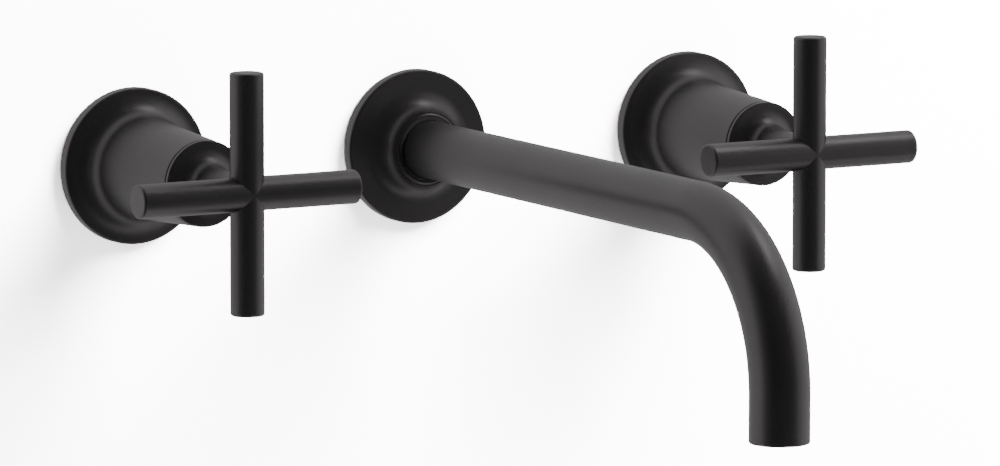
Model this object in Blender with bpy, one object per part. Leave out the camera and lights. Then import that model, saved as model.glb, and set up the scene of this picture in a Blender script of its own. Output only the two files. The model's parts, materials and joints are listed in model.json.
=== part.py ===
"""Wall mounted bath faucet: two cross handles, a long tube spout and the valve behind the wall.

Metres, +Z up. The finished wall is the plane y = 0. The room is on the -Y side and the
wall's inside is on the +Y side. The origin is where the spout's axis meets the wall.

An outline is a list of (radius, out) corners. The number out is a distance from the finished
wall: above zero in the room, below zero inside the wall. A corner may name a shape as well:
HEX for a spanner hexagon, whose radius is half its width across flats, or SPLINE for drive lobes.
"""
import bpy
import bmesh
from math import cos, hypot, pi, radians, sin
from mathutils import Matrix, Vector

MM = 0.001

# Overall sizes
HANDLE_SPACING = 203.2 * MM
ARM_REACH = 37.9 * MM
ARM_RADIUS = 5.36 * MM
SPOUT_REACH = 231.15 * MM
SPOUT_DROP = 64.3 * MM
SPOUT_TIP_LENGTH = 14.8 * MM
SPOUT_RADIUS = 9.3 * MM
SPOUT_WALL = 1.6 * MM
FLANGE_RADIUS = 25.0 * MM
FLANGE_EDGE = 4.2 * MM

# Fits
GAP = 0.3 * MM
TURNING_GAP = 0.3 * MM
RING_GAP = 0.2 * MM
OVERCUT = 1.0 * MM

# Trim on the room side
EDGE_ROUND = 0.5 * MM
ARM_END_ROUND = 0.7 * MM
TRIM_RIM_WIDTH = 2.4 * MM
TRIM_RECESS = 2.2 * MM
TRIM_WALL = 2.0 * MM
TRIM_FACE_WIDTH = 3.5 * MM
NECK_END_OUT = 51.0 * MM
NECK_WALL = 2.1 * MM
NECK_TAPER = 2.4 * MM
NECK_FILLET = 7.6 * MM
NECK_LAND_LENGTH = 15.0 * MM
FLARE_SHARE = 0.4
FLARE_LIFT = 1.0 * MM
COLLAR_WALL = 1.3 * MM
COLLAR_FILLET = 7.0 * MM
COLLAR_LAND = 0.3 * MM
COLLAR_TAPER = 0.3 * MM
COLLAR_GROOVE_WIDTH = 1.4 * MM
COLLAR_GROOVE_DEPTH = 2.2 * MM
COLLAR_BACK_WALL = 2.4 * MM
GASKET_WIDTH = 4.3 * MM

# Handle
HUB_EDGE = 1.5 * MM
HUB_DISC_STEP = 0.05 * MM
HUB_EDGE_ROUND = 0.3 * MM
HUB_FILLET = 5.4 * MM
HUB_STEM_RADIUS = 6.0 * MM
HUB_BOSS_WALL = 3.7 * MM
HUB_BOSS_LENGTH = 9.3 * MM
HUB_BORE_DEPTH = 24.0 * MM
HANDLE_SCREW_RADIUS = 1.9 * MM
HANDLE_SCREW_LIFT = 5.7 * MM
HANDLE_SCREW_RECESS = 0.2 * MM
DRILL_START = 2.0 * MM
HANDLE_STANDOFF = 29.5 * MM
BUSHING_LENGTH = 4.0 * MM

# Drive line from the handle to the cartridge
SPLINE_RADIUS = 3.6 * MM
SPLINE_TOOTH = 0.45 * MM
SPLINE_LENGTH = 12.5 * MM
EXTENSION_STEP = 1.0 * MM
EXTENSION_SOCKET_WALL = 2.3 * MM
EXTENSION_SOCKET_END = 2.0 * MM
EXTENSION_TAPER = 1.0 * MM
STEM_STEP = 1.1 * MM
STEM_SHOULDER = 2.5 * MM
STEM_COLLAR_LENGTH = 1.7 * MM
STEM_TAB_WIDTH = 2.6 * MM
STEM_TAB_LENGTH = 9.0 * MM
STEM_TAB_DEPTH = 1.7 * MM
CLIP_THICKNESS = 0.8 * MM
CLIP_STEP = 0.4 * MM
CLIP_GROOVE_DEPTH = 1.1 * MM
CLIP_MOUTH = radians(60)
STEM_RING_DEPTH = 5.0 * MM
STEM_RING_GROOVE_DEPTH = 1.6 * MM

# Cartridge, from the valve's mouth to its seat
MOUTH_OUT = -16.0 * MM
CARTRIDGE_DEPTH = 40.0 * MM
VALVE_BORE = 10.0 * MM
SHELL_WALL = 2.0 * MM
SHELL_FLANGE_WIDTH = 2.0 * MM
SHELL_FLANGE_LENGTH = 2.5 * MM
SHELL_NOSE_WALL = 1.6 * MM
SHELL_NOSE_LENGTH = 7.0 * MM
CHAMBER_LENGTH = 11.7 * MM
WINDOW_LENGTH = 7.0 * MM
WINDOW_WIDTH = 8.0 * MM
DISC_THICKNESS = 3.2 * MM
PORT_INNER_RADIUS = 2.8 * MM
PORT_RIM = 1.3 * MM
PORT_ANGLE = radians(70)
SEAL_LENGTH = 3.7 * MM
SEAL_WALL = 2.2 * MM
SHELL_RING_DEPTH = 10.0 * MM
SHELL_RING_GROOVE_DEPTH = 1.7 * MM

# Valve body, crossover and tee
OUTLET_BEHIND_CHAMBER = 7.0 * MM
INLET_BEHIND_SEAT = 12.0 * MM
VALVE_WALL = 5.0 * MM
VALVE_CHAMFER = 1.0 * MM
VALVE_MOUTH_WALL = 3.2 * MM
VALVE_THREAD_LENGTH = 14.0 * MM
CHAMBER_PORT_RADIUS = 7.0 * MM
CHAMBER_PAST_INLET = 6.0 * MM
BOSS_ROOT = 2.0 * MM
BORE_STEP = 0.5 * MM
INLET_DROP = 44.0 * MM
INLET_WALL = 3.9 * MM
INLET_BACK_FLAT = 0.5 * MM
INLET_THREAD_RADIUS = 9.6 * MM
INLET_THREAD_LENGTH = 15.0 * MM
SIDE_BOSS_WALL = 2.26 * MM
SIDE_BOSS_REACH = 26.0 * MM
TEE_REACH = 23.0 * MM
SOCKET_DEPTH = 11.0 * MM
CROSSOVER_RADIUS = 7.94 * MM
CROSSOVER_WALL = 1.04 * MM
TEE_BOSS_WALL = 4.0 * MM
TEE_MOUTH_OUT = -16.0 * MM
TEE_THREAD_LENGTH = 11.0 * MM
TEE_BOSS_CONE = 2.0 * MM

# Bonnet nut and the sleeve that carries the escutcheon
NUT_WALL = 1.8 * MM
NUT_CUP_LENGTH = 14.0 * MM
NUT_LIP = 4.0 * MM
NUT_TUBE_WALL = 2.3 * MM
NUT_TUBE_OUT = 6.0 * MM
SLEEVE_WALL = 1.8 * MM

# Spout adapter and outlet
ADAPTER_THREAD_RADIUS = 10.0 * MM
ADAPTER_HALF_FLATS = 12.0 * MM
ADAPTER_HEX_LENGTH = 5.0 * MM
ADAPTER_HEX_OUT = -8.0 * MM
ADAPTER_WALL = 3.0 * MM
ADAPTER_END_OUT = 34.0 * MM
ADAPTER_CHAMFER = 0.8 * MM
ADAPTER_RING_OUTS = {"rear": 9.0 * MM, "front": 27.0 * MM}
ADAPTER_RING_GROOVE_DEPTH = 1.7 * MM
SPOUT_START_OUT = 0.6 * MM
SPOUT_SCREW_OUT = 18.0 * MM
SPOUT_SCREW_RADIUS = 2.0 * MM
SPOUT_SCREW_LENGTH = 2.4 * MM
OUTLET_RECESS = 1.0 * MM
AERATOR_LENGTH = 9.0 * MM
AERATOR_LIP = 1.0 * MM
AERATOR_LIP_WIDTH = 2.2 * MM
AERATOR_WALL = 1.2 * MM
INSERT_LENGTH = 4.5 * MM
INSERT_HOLE_RADIUS = 0.62 * MM
INSERT_HOLE_PITCH = 2.1 * MM
INSERT_RIM = 1.2 * MM
WASHER_LENGTH = 1.8 * MM

# Bracket and screws
BRACKET_THICKNESS = 2.5 * MM
BRACKET_HALF_HEIGHT = 13.0 * MM
BRACKET_STEP = 10.0 * MM
BRACKET_FOOT = 20.0 * MM
BRACKET_OVERHANG = 20.4 * MM
BRACKET_SLOPE = 6.0 * MM
BODY_SCREW_RADIUS = 2.4 * MM
BODY_SCREW_BITE = 5.0 * MM
BODY_SCREW_HEAD_RADIUS = 4.5 * MM
BODY_SCREW_HEAD = 3.0 * MM
STUD_SCREW_RADIUS = 2.2 * MM
STUD_SCREW_LENGTH = 21.0 * MM
STUD_SCREW_HEAD_RADIUS = 4.4 * MM
STUD_SCREW_HEAD = 2.8 * MM
STUD_SCREW_HEIGHT = 7.0 * MM
STUD_SCREW_CROWN = 0.8
STUD_SCREW_KEY = 0.4
SLOT_LENGTH = 5.0 * MM

# How finely round pieces are divided
FINE = 24
SPANNER = 24
MEDIUM = 20
COARSE = 16
TINY = 12
RING_SECTION = 6
BEND_STEPS = 8
ARC_STEPS = 3

HEX = "hexagon"
SPLINE = "spline"
OUT = Vector((0, -1, 0))
DOWN = Vector((0, 0, -1))
ON_AXIS = 1e-7

# The spout and its fittings
SPOUT_BEND = SPOUT_DROP - SPOUT_TIP_LENGTH
SPOUT_BORE = SPOUT_RADIUS - SPOUT_WALL
SPIGOT_RADIUS = SPOUT_BORE - GAP
COLLAR_OUT = FLANGE_EDGE + COLLAR_FILLET + COLLAR_LAND
COLLAR_GROOVE_RADIUS = SPOUT_RADIUS + COLLAR_GROOVE_WIDTH
COLLAR_RADIUS = COLLAR_GROOVE_RADIUS + COLLAR_WALL
ADAPTER_BORE = SPIGOT_RADIUS - ADAPTER_WALL
ADAPTER_RING_GROOVE_RADIUS = SPIGOT_RADIUS - ADAPTER_RING_GROOVE_DEPTH
AERATOR_LIP_HOLE = SPIGOT_RADIUS - AERATOR_LIP_WIDTH

# The drive line, outwards from the spline
STEM_RADIUS = SPLINE_RADIUS + STEM_STEP
EXTENSION_RADIUS = SPLINE_RADIUS + EXTENSION_STEP
EXTENSION_SOCKET_RADIUS = SPLINE_RADIUS + GAP + EXTENSION_SOCKET_WALL
HUB_BOSS_RADIUS = SPLINE_RADIUS + GAP + HUB_BOSS_WALL
SHELL_NOSE_RADIUS = STEM_RADIUS + TURNING_GAP + SHELL_NOSE_WALL
SHELL_NOSE_OUT = MOUTH_OUT + SHELL_NOSE_LENGTH
CLIP_RADIUS = SHELL_NOSE_RADIUS - CLIP_STEP
CLIP_GROOVE_RADIUS = STEM_RADIUS - CLIP_GROOVE_DEPTH
STEM_RING_OUT = MOUTH_OUT - STEM_RING_DEPTH
STEM_RING_GROOVE_RADIUS = STEM_RADIUS - STEM_RING_GROOVE_DEPTH
STEM_SHOULDER_OUT = SHELL_NOSE_OUT + STEM_SHOULDER
STEM_END_OUT = STEM_SHOULDER_OUT + SPLINE_LENGTH

# The cartridge, outwards from its seat
SEAT_OUT = MOUTH_OUT - CARTRIDGE_DEPTH
SEAL_OUT = SEAT_OUT + GAP + SEAL_LENGTH
FIXED_DISC_OUT = SEAL_OUT + GAP + DISC_THICKNESS
MOVING_DISC_OUT = FIXED_DISC_OUT + GAP + DISC_THICKNESS
CHAMBER_FRONT_OUT = MOVING_DISC_OUT + GAP + CHAMBER_LENGTH
SHELL_RADIUS = VALVE_BORE - GAP
CHAMBER_RADIUS = SHELL_RADIUS - SHELL_WALL
DISC_RADIUS = CHAMBER_RADIUS - TURNING_GAP
PORT_OUTER_RADIUS = DISC_RADIUS - PORT_RIM
SEAL_BORE = DISC_RADIUS - SEAL_WALL
SHELL_FLANGE_OUT = MOUTH_OUT + GAP + SHELL_FLANGE_LENGTH
SHELL_FLANGE_RADIUS = VALVE_BORE + SHELL_FLANGE_WIDTH
SHELL_RING_OUT = MOUTH_OUT - SHELL_RING_DEPTH
SHELL_RING_GROOVE_RADIUS = SHELL_RADIUS - SHELL_RING_GROOVE_DEPTH

# The valve body and the tee around them
VALVE_RADIUS = VALVE_BORE + VALVE_WALL
VALVE_THREAD_RADIUS = VALVE_BORE + VALVE_MOUTH_WALL
INLET_BOSS_RADIUS = INLET_THREAD_RADIUS + INLET_WALL
SIDE_BOSS_RADIUS = CROSSOVER_RADIUS + GAP + SIDE_BOSS_WALL
TEE_BOSS_RADIUS = ADAPTER_THREAD_RADIUS + TEE_BOSS_WALL
OUTLET_OUT = CHAMBER_FRONT_OUT - OUTLET_BEHIND_CHAMBER
INLET_OUT = SEAT_OUT - INLET_BEHIND_SEAT
CHAMBER_END_OUT = INLET_OUT - CHAMBER_PAST_INLET
VALVE_BACK_OUT = INLET_OUT - INLET_BOSS_RADIUS - INLET_BACK_FLAT
BRACKET_OUT = VALVE_BACK_OUT - GAP
FOOT_OUT = BRACKET_OUT - BRACKET_STEP

# The nut, the sleeve and the trim around the drive line
NUT_HALF_FLATS = VALVE_THREAD_RADIUS + NUT_WALL
NUT_BORE = SHELL_NOSE_RADIUS + GAP
NUT_TUBE_RADIUS = NUT_BORE + NUT_TUBE_WALL
NUT_FRONT_OUT = SHELL_FLANGE_OUT + GAP + NUT_LIP
SLEEVE_BORE = NUT_TUBE_RADIUS + GAP
SLEEVE_RADIUS = SLEEVE_BORE + SLEEVE_WALL
TRIM_BORE = SLEEVE_RADIUS + GAP
NECK_END_RADIUS = TRIM_BORE + NECK_WALL
NECK_ROOT_RADIUS = NECK_END_RADIUS + NECK_TAPER
BUSHING_REAR_OUT = NECK_END_OUT - BUSHING_LENGTH
HUB_DISC_RADIUS = NECK_END_RADIUS - HUB_DISC_STEP
HUB_OUT = NECK_END_OUT + TURNING_GAP
HUB_BOSS_OUT = HUB_OUT - HUB_BOSS_LENGTH
HANDLE_OUT = NECK_END_OUT + HANDLE_STANDOFF
HANDLE_SCREW_OUT = HUB_OUT + HANDLE_SCREW_LIFT
HANDLE_SCREW_HEAD = HUB_STEM_RADIUS - HANDLE_SCREW_RECESS


def finish(name, colour, roughness, metallic=0.0):
    """A Principled material."""
    material = bpy.data.materials.new(name)
    material.use_nodes = True
    shader = material.node_tree.nodes["Principled BSDF"]
    shader.inputs["Base Color"].default_value = (*colour, 1.0)
    shader.inputs["Roughness"].default_value = roughness
    shader.inputs["Metallic"].default_value = metallic
    material.diffuse_color = (*colour, 1.0)
    return material


def clear_scene():
    for thing in list(bpy.data.objects):
        bpy.data.objects.remove(thing, do_unlink=True)


def arc(centre_radius, centre_out, radius, start, end, steps):
    """Corners along a round stretch of an outline, with both ends."""
    corners = []
    for k in range(steps + 1):
        angle = start + (end - start) * k / steps
        corners.append((centre_radius + radius * cos(angle), centre_out + radius * sin(angle)))
    return corners


def shaped_radius(radius, shape, k, sides):
    """The distance from the axis of corner k of a ring of the given shape."""
    if shape == SPLINE:
        return radius - SPLINE_TOOTH * (k % 2)
    if shape == HEX:
        off_flat = (2 * pi * k / sides) % (pi / 3) - pi / 6
        return radius / cos(off_flat)
    return radius


def ring(bm, radius, out, shape, sides):
    """A ring of vertices around the local Y axis, or one vertex on it."""
    if radius < ON_AXIS:
        return [bm.verts.new((0, -out, 0))]
    vertices = []
    for k in range(sides):
        r = shaped_radius(radius, shape, k, sides)
        angle = 2 * pi * k / sides
        vertices.append(bm.verts.new((r * cos(angle), -out, r * sin(angle))))
    return vertices


def bridge(bm, one, other):
    """The faces between two neighbouring rings, either of which may be a single vertex."""
    sides = max(len(one), len(other))
    for k in range(sides):
        after = (k + 1) % sides
        if len(one) == 1:
            bm.faces.new((one[0], other[k], other[after]))
        elif len(other) == 1:
            bm.faces.new((one[k], one[after], other[0]))
        else:
            bm.faces.new((one[k], one[after], other[after], other[k]))


def turned_shape(outline, sides):
    """A closed shape turned around the local Y axis. An outline off the axis closes on itself."""
    bm = bmesh.new()
    corners = list(outline)
    flat_start = corners[0][0] < ON_AXIS and corners[0][1] == corners[1][1]
    flat_end = corners[-1][0] < ON_AXIS and corners[-1][1] == corners[-2][1]
    hollow = corners[0][0] > ON_AXIS
    corners = corners[int(flat_start):len(corners) - int(flat_end)]
    rings = []
    for radius, out, *shape in corners:
        rings.append(ring(bm, radius, out, shape[0] if shape else None, sides))
    for one, other in zip(rings, rings[1:]):
        bridge(bm, one, other)
    if hollow:
        bridge(bm, rings[-1], rings[0])
    if flat_start:
        bm.faces.new(rings[0])
    if flat_end:
        bm.faces.new(rings[-1])
    return bm


def extruded_shape(corners, low, high):
    """A closed prism of (x, y) corners between two heights."""
    bm = bmesh.new()
    bottom = [bm.verts.new((x, y, low)) for x, y in corners]
    top = [bm.verts.new((x, y, high)) for x, y in corners]
    bm.faces.new(bottom)
    bm.faces.new(top)
    bridge(bm, bottom, top)
    return bm


def made(name, bm, material=None, place=(0, 0, 0), direction=OUT, parent=None):
    """An object from a finished shape, turned so that its outward side faces a direction."""
    if direction != OUT:
        turn = OUT.rotation_difference(direction).to_matrix().to_4x4()
        bmesh.ops.transform(bm, matrix=turn, verts=bm.verts)
    bmesh.ops.recalc_face_normals(bm, faces=bm.faces)
    mesh = bpy.data.meshes.new(name)
    bm.to_mesh(mesh)
    bm.free()
    mesh.shade_smooth()
    mesh.set_sharp_from_angle(angle=radians(35))
    thing = bpy.data.objects.new(name, mesh)
    bpy.context.collection.objects.link(thing)
    thing.location = place
    thing.parent = parent
    if material:
        mesh.materials.append(material)
    return thing


def turned(name, outline, material=None, sides=COARSE, **placing):
    return made(name, turned_shape(outline, sides), material, **placing)


def combine(target, tool, operation):
    """A live Boolean on target. The tool stays in the file as a wire guide."""
    modifier = target.modifiers.new(f"{operation.lower()} {tool.name}", "BOOLEAN")
    modifier.operation = operation
    modifier.solver = "EXACT"
    modifier.object = tool
    tool.hide_render = True
    tool.display_type = "WIRE"


def cut(target, tool):
    combine(target, tool, "DIFFERENCE")


def join(target, tool):
    combine(target, tool, "UNION")


def empty(name, place):
    point = bpy.data.objects.new(name, None)
    bpy.context.collection.objects.link(point)
    point.location = place
    point.empty_display_size = 10 * MM
    return point


def seal_ring(name, inner, outer, out, material, sides=TINY, **placing):
    """A round rubber ring between two radii."""
    section = (outer - inner) / 2
    corners = arc(inner + section, out, section, 0, 2 * pi, RING_SECTION)[:-1]
    return turned(name, corners, material, sides, **placing)


def groove(ring_out, floor, shoulder, ring_width):
    """The four corners of a ring's groove, from the wall side to the room side."""
    half = ring_width / 2 + GAP
    return [(shoulder, ring_out - half), (floor, ring_out - half),
            (floor, ring_out + half), (shoulder, ring_out + half)]


def trim_flange(neck_radius, fillet, recess_to):
    """The outside of a wall flange, from its back edge inwards to the neck, and its hollow back."""
    edge = arc(FLANGE_RADIUS - EDGE_ROUND, FLANGE_EDGE - EDGE_ROUND, EDGE_ROUND, 0, pi / 2, 2)
    sweep = arc(neck_radius + fillet, FLANGE_EDGE + fillet, fillet, -pi / 2, -pi, ARC_STEPS)
    rim_bore = FLANGE_RADIUS - TRIM_RIM_WIDTH
    back = [(recess_to, TRIM_RECESS), (rim_bore, TRIM_RECESS), (rim_bore, 0)]
    return back + [(FLANGE_RADIUS, 0)] + edge + sweep


def room_for_fillet(fillet, neck_radius):
    """A fillet between a neck and the flange's rounded edge can't be wider than the flange."""
    return min(fillet, FLANGE_RADIUS - 2 * EDGE_ROUND - neck_radius)


def escutcheon(name, black, parent):
    """Flange and tapered neck in one spun shell, open from back to front."""
    fillet = room_for_fillet(NECK_FILLET, NECK_ROOT_RADIUS)
    slope = NECK_TAPER / (NECK_END_OUT - FLANGE_EDGE - fillet)
    land_out = NECK_END_OUT - NECK_LAND_LENGTH
    hollow_out = land_out - TRIM_WALL
    hollow_radius = NECK_END_RADIUS + slope * (NECK_END_OUT - hollow_out) - TRIM_WALL
    throat = NECK_ROOT_RADIUS - TRIM_WALL
    flare = [(throat, FLANGE_EDGE + fillet), (throat + FLARE_SHARE * fillet, FLANGE_EDGE + FLARE_LIFT)]
    recess_to = FLANGE_RADIUS - TRIM_RIM_WIDTH - TRIM_FACE_WIDTH
    outside = trim_flange(NECK_ROOT_RADIUS, fillet, recess_to)
    front = [(NECK_END_RADIUS, NECK_END_OUT - HUB_EDGE_ROUND),
             (NECK_END_RADIUS - HUB_EDGE_ROUND, NECK_END_OUT)]
    inside = [(TRIM_BORE, NECK_END_OUT), (TRIM_BORE, land_out), (hollow_radius, hollow_out)]
    return turned(name, outside + front + inside + flare, black, FINE, parent=parent)


def wall_gasket(name, rubber, parent=None):
    outer = FLANGE_RADIUS - TRIM_RIM_WIDTH - GAP
    thick = TRIM_RECESS - GAP
    corners = [(outer, 0), (outer, thick), (outer - GASKET_WIDTH, thick), (outer - GASKET_WIDTH, 0)]
    return turned(name, corners, rubber, MEDIUM, parent=parent)


def handle_bushing(name, nylon, parent):
    bore = HUB_BOSS_RADIUS + TURNING_GAP
    outer = TRIM_BORE - GAP
    corners = [(outer, BUSHING_REAR_OUT), (outer, NECK_END_OUT - GAP),
               (bore, NECK_END_OUT - GAP), (bore, BUSHING_REAR_OUT)]
    return turned(name, corners, nylon, COARSE, parent=parent)


def cross_shape():
    """Four round arms that meet in mitres, around the handle's axis."""
    bm = bmesh.new()
    for quarter in range(4):
        turn = Matrix.Rotation(quarter * pi / 2, 3, "Y")
        rings = []
        ends = arc(ARM_RADIUS - ARM_END_ROUND, ARM_REACH - ARM_END_ROUND, ARM_END_ROUND, 0, pi / 2, 2)
        for radius, reach in [(ARM_RADIUS, None)] + ends:
            vertices = []
            for k in range(MEDIUM):
                angle = 2 * pi * k / MEDIUM
                across = radius * sin(angle)
                along = abs(across) if reach is None else reach
                point = turn @ Vector((along, radius * cos(angle), across))
                vertices.append(bm.verts.new(point - Vector((0, HANDLE_OUT, 0))))
            rings.append(vertices)
        for one, other in zip(rings, rings[1:]):
            bridge(bm, one, other)
        bm.faces.new(rings[-1])
    bmesh.ops.remove_doubles(bm, verts=bm.verts, dist=0.01 * MM)
    return bm


def hub_outline():
    """The boss inside the neck, the disc that caps the neck, and the short stem to the cross."""
    front = HUB_OUT + HUB_EDGE
    edge = arc(HUB_DISC_RADIUS - HUB_EDGE_ROUND, front - HUB_EDGE_ROUND, HUB_EDGE_ROUND, 0, pi / 2, 1)
    sweep = arc(HUB_STEM_RADIUS + HUB_FILLET, front + HUB_FILLET, HUB_FILLET, -pi / 2, -pi, ARC_STEPS)
    boss = [(0, HUB_BOSS_OUT), (HUB_BOSS_RADIUS, HUB_BOSS_OUT),
            (HUB_BOSS_RADIUS, HUB_OUT), (HUB_DISC_RADIUS, HUB_OUT)]
    top = HANDLE_OUT - ARM_RADIUS / 2
    return boss + edge + sweep + [(ARM_RADIUS - GAP, top), (0, top)]


def handle(name, black, parent):
    """The cross and its hub are one casting, with a splined bore and a tapped hole below."""
    cross = made(name, cross_shape(), black, parent=parent)
    hub = turned(f"{name}_hub", hub_outline(), None, MEDIUM, parent=parent)
    join(cross, hub)
    bore, bore_end = SPLINE_RADIUS + GAP, HUB_BOSS_OUT + HUB_BORE_DEPTH
    mouth = HUB_BOSS_OUT - OVERCUT
    socket = [(0, bore_end), (bore, bore_end, SPLINE), (bore, mouth, SPLINE), (0, mouth)]
    cut(cross, turned(f"{name}_broach", socket, None, TINY, parent=parent))
    radius = HANDLE_SCREW_RADIUS + GAP
    hole = [(0, DRILL_START), (radius, DRILL_START), (radius, HUB_DISC_RADIUS), (0, HUB_DISC_RADIUS)]
    drill = turned(f"{name}_drill", hole, None, TINY, place=(0, -HANDLE_SCREW_OUT, 0),
                   direction=DOWN, parent=parent)
    cut(cross, drill)
    return cross


def set_screw(name, radius, inner, outer, steel, place, parent=None):
    """A headless screw below an axis, between two distances from it, with a hexagon socket."""
    socket = outer - (outer - inner) / 2
    corners = [(0, inner), (radius, inner), (radius, outer), (radius / 2, outer, HEX),
               (radius / 2, socket, HEX), (0, socket)]
    return turned(name, corners, steel, TINY, place=place, direction=DOWN, parent=parent)


def handle_screw(name, steel, parent):
    inner = SPLINE_RADIUS + GAP
    return set_screw(name, HANDLE_SCREW_RADIUS, inner, HANDLE_SCREW_HEAD, steel,
                     (0, -HANDLE_SCREW_OUT, 0), parent)


def stem_extension(name, brass, parent):
    """The splined rod that carries the handle's turn through the wall to the cartridge stem."""
    rear = STEM_SHOULDER_OUT + 2 * GAP
    socket_end = STEM_END_OUT + 2 * GAP
    cap = socket_end + EXTENSION_SOCKET_END
    socket = SPLINE_RADIUS + GAP
    front = HUB_BOSS_OUT + HUB_BORE_DEPTH - GAP
    corners = [(0, socket_end), (socket, socket_end, SPLINE), (socket, rear, SPLINE),
               (EXTENSION_SOCKET_RADIUS, rear), (EXTENSION_SOCKET_RADIUS, cap),
               (EXTENSION_RADIUS, cap + EXTENSION_TAPER), (EXTENSION_RADIUS, HUB_BOSS_OUT - GAP),
               (SPLINE_RADIUS, HUB_BOSS_OUT - GAP, SPLINE), (SPLINE_RADIUS, front, SPLINE), (0, front)]
    return turned(name, corners, brass, TINY, parent=parent)


def stem(name, brass, parent):
    """The cartridge's spindle: tab and collar at the disc end, spline at the handle end."""
    foot = CHAMBER_FRONT_OUT - CHAMBER_LENGTH
    collar = CHAMBER_FRONT_OUT - TURNING_GAP
    clip_low = SHELL_NOSE_OUT + GAP
    ring_width = STEM_RADIUS - STEM_RING_GROOVE_RADIUS - GAP
    corners = [(0, foot), (STEM_RADIUS, foot), (STEM_RADIUS, collar - STEM_COLLAR_LENGTH),
               (DISC_RADIUS, collar - STEM_COLLAR_LENGTH), (DISC_RADIUS, collar),
               (STEM_RADIUS, collar)]
    corners += groove(STEM_RING_OUT, STEM_RING_GROOVE_RADIUS, STEM_RADIUS, ring_width)
    corners += groove(clip_low + CLIP_THICKNESS / 2, CLIP_GROOVE_RADIUS, STEM_RADIUS, CLIP_THICKNESS)
    corners += [(STEM_RADIUS, STEM_SHOULDER_OUT), (SPLINE_RADIUS, STEM_SHOULDER_OUT, SPLINE),
                (SPLINE_RADIUS, STEM_END_OUT, SPLINE), (0, STEM_END_OUT)]
    spindle = turned(name, corners, brass, TINY, parent=parent)
    half, width = STEM_TAB_LENGTH / 2, STEM_TAB_WIDTH / 2
    footprint = [(-half, -foot - OVERCUT), (half, -foot - OVERCUT),
                 (half, -foot + STEM_TAB_DEPTH), (-half, -foot + STEM_TAB_DEPTH)]
    tab = made(f"{name}_tab", extruded_shape(footprint, -width, width), parent=parent)
    join(spindle, tab)
    return spindle


def stem_ring(name, rubber, parent):
    return seal_ring(name, STEM_RING_GROOVE_RADIUS + GAP, STEM_RADIUS, STEM_RING_OUT, rubber,
                     parent=parent)


def stem_clip(name, steel, parent):
    """An open spring clip that keeps the spindle from pushing back into the cartridge."""
    inner = CLIP_GROOVE_RADIUS + GAP
    span = 2 * pi - CLIP_MOUTH
    start = CLIP_MOUTH / 2 - pi / 2
    outer_arc = arc(0, 0, CLIP_RADIUS, start, start + span, TINY)
    inner_arc = arc(0, 0, inner, start + span, start, TINY)
    low = SHELL_NOSE_OUT + GAP
    bm = extruded_shape(outer_arc + inner_arc, low, low + CLIP_THICKNESS)
    bmesh.ops.transform(bm, matrix=Matrix.Rotation(pi / 2, 4, "X"), verts=bm.verts)
    return made(name, bm, steel, parent=parent)


def port_cutter(name, first_angle, front, back, parent):
    """Two opposite sectors, long enough to pierce a disc."""
    bm = bmesh.new()
    for half_turn in (0, pi):
        start = first_angle + half_turn - PORT_ANGLE / 2
        outer = arc(0, 0, PORT_OUTER_RADIUS, start, start + PORT_ANGLE, ARC_STEPS)
        inner = arc(0, 0, PORT_INNER_RADIUS, start + PORT_ANGLE, start, 2)
        corners = outer + inner
        low = [bm.verts.new((x, -front, z)) for x, z in corners]
        high = [bm.verts.new((x, -back, z)) for x, z in corners]
        bm.faces.new(low)
        bm.faces.new(high)
        bridge(bm, low, high)
    return made(name, bm, parent=parent)


def ceramic_disc(name, front, first_angle, ceramic, parent):
    """A disc with two sector ports."""
    back = front - DISC_THICKNESS
    corners = [(0, back), (DISC_RADIUS, back), (DISC_RADIUS, front), (0, front)]
    disc = turned(name, corners, ceramic, COARSE, parent=parent)
    cut(disc, port_cutter(f"{name}_ports", first_angle, front + OVERCUT, back - OVERCUT, parent))
    return disc


def moving_disc(name, ceramic, parent):
    """The disc that the spindle's tab turns, so it has a slot in its front."""
    disc = ceramic_disc(name, MOVING_DISC_OUT, pi / 2, ceramic, parent)
    half, width = STEM_TAB_LENGTH / 2 + GAP, STEM_TAB_WIDTH / 2 + GAP
    floor = -MOVING_DISC_OUT + STEM_TAB_DEPTH
    mouth = -MOVING_DISC_OUT - OVERCUT
    footprint = [(-half, mouth), (half, mouth), (half, floor), (-half, floor)]
    cut(disc, made(f"{name}_slot", extruded_shape(footprint, -width, width), parent=parent))
    return disc


def seat_seal(name, rubber, parent):
    back = SEAL_OUT - SEAL_LENGTH
    corners = [(DISC_RADIUS, back), (DISC_RADIUS, SEAL_OUT), (SEAL_BORE, SEAL_OUT), (SEAL_BORE, back)]
    return turned(name, corners, rubber, COARSE, parent=parent)


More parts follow.
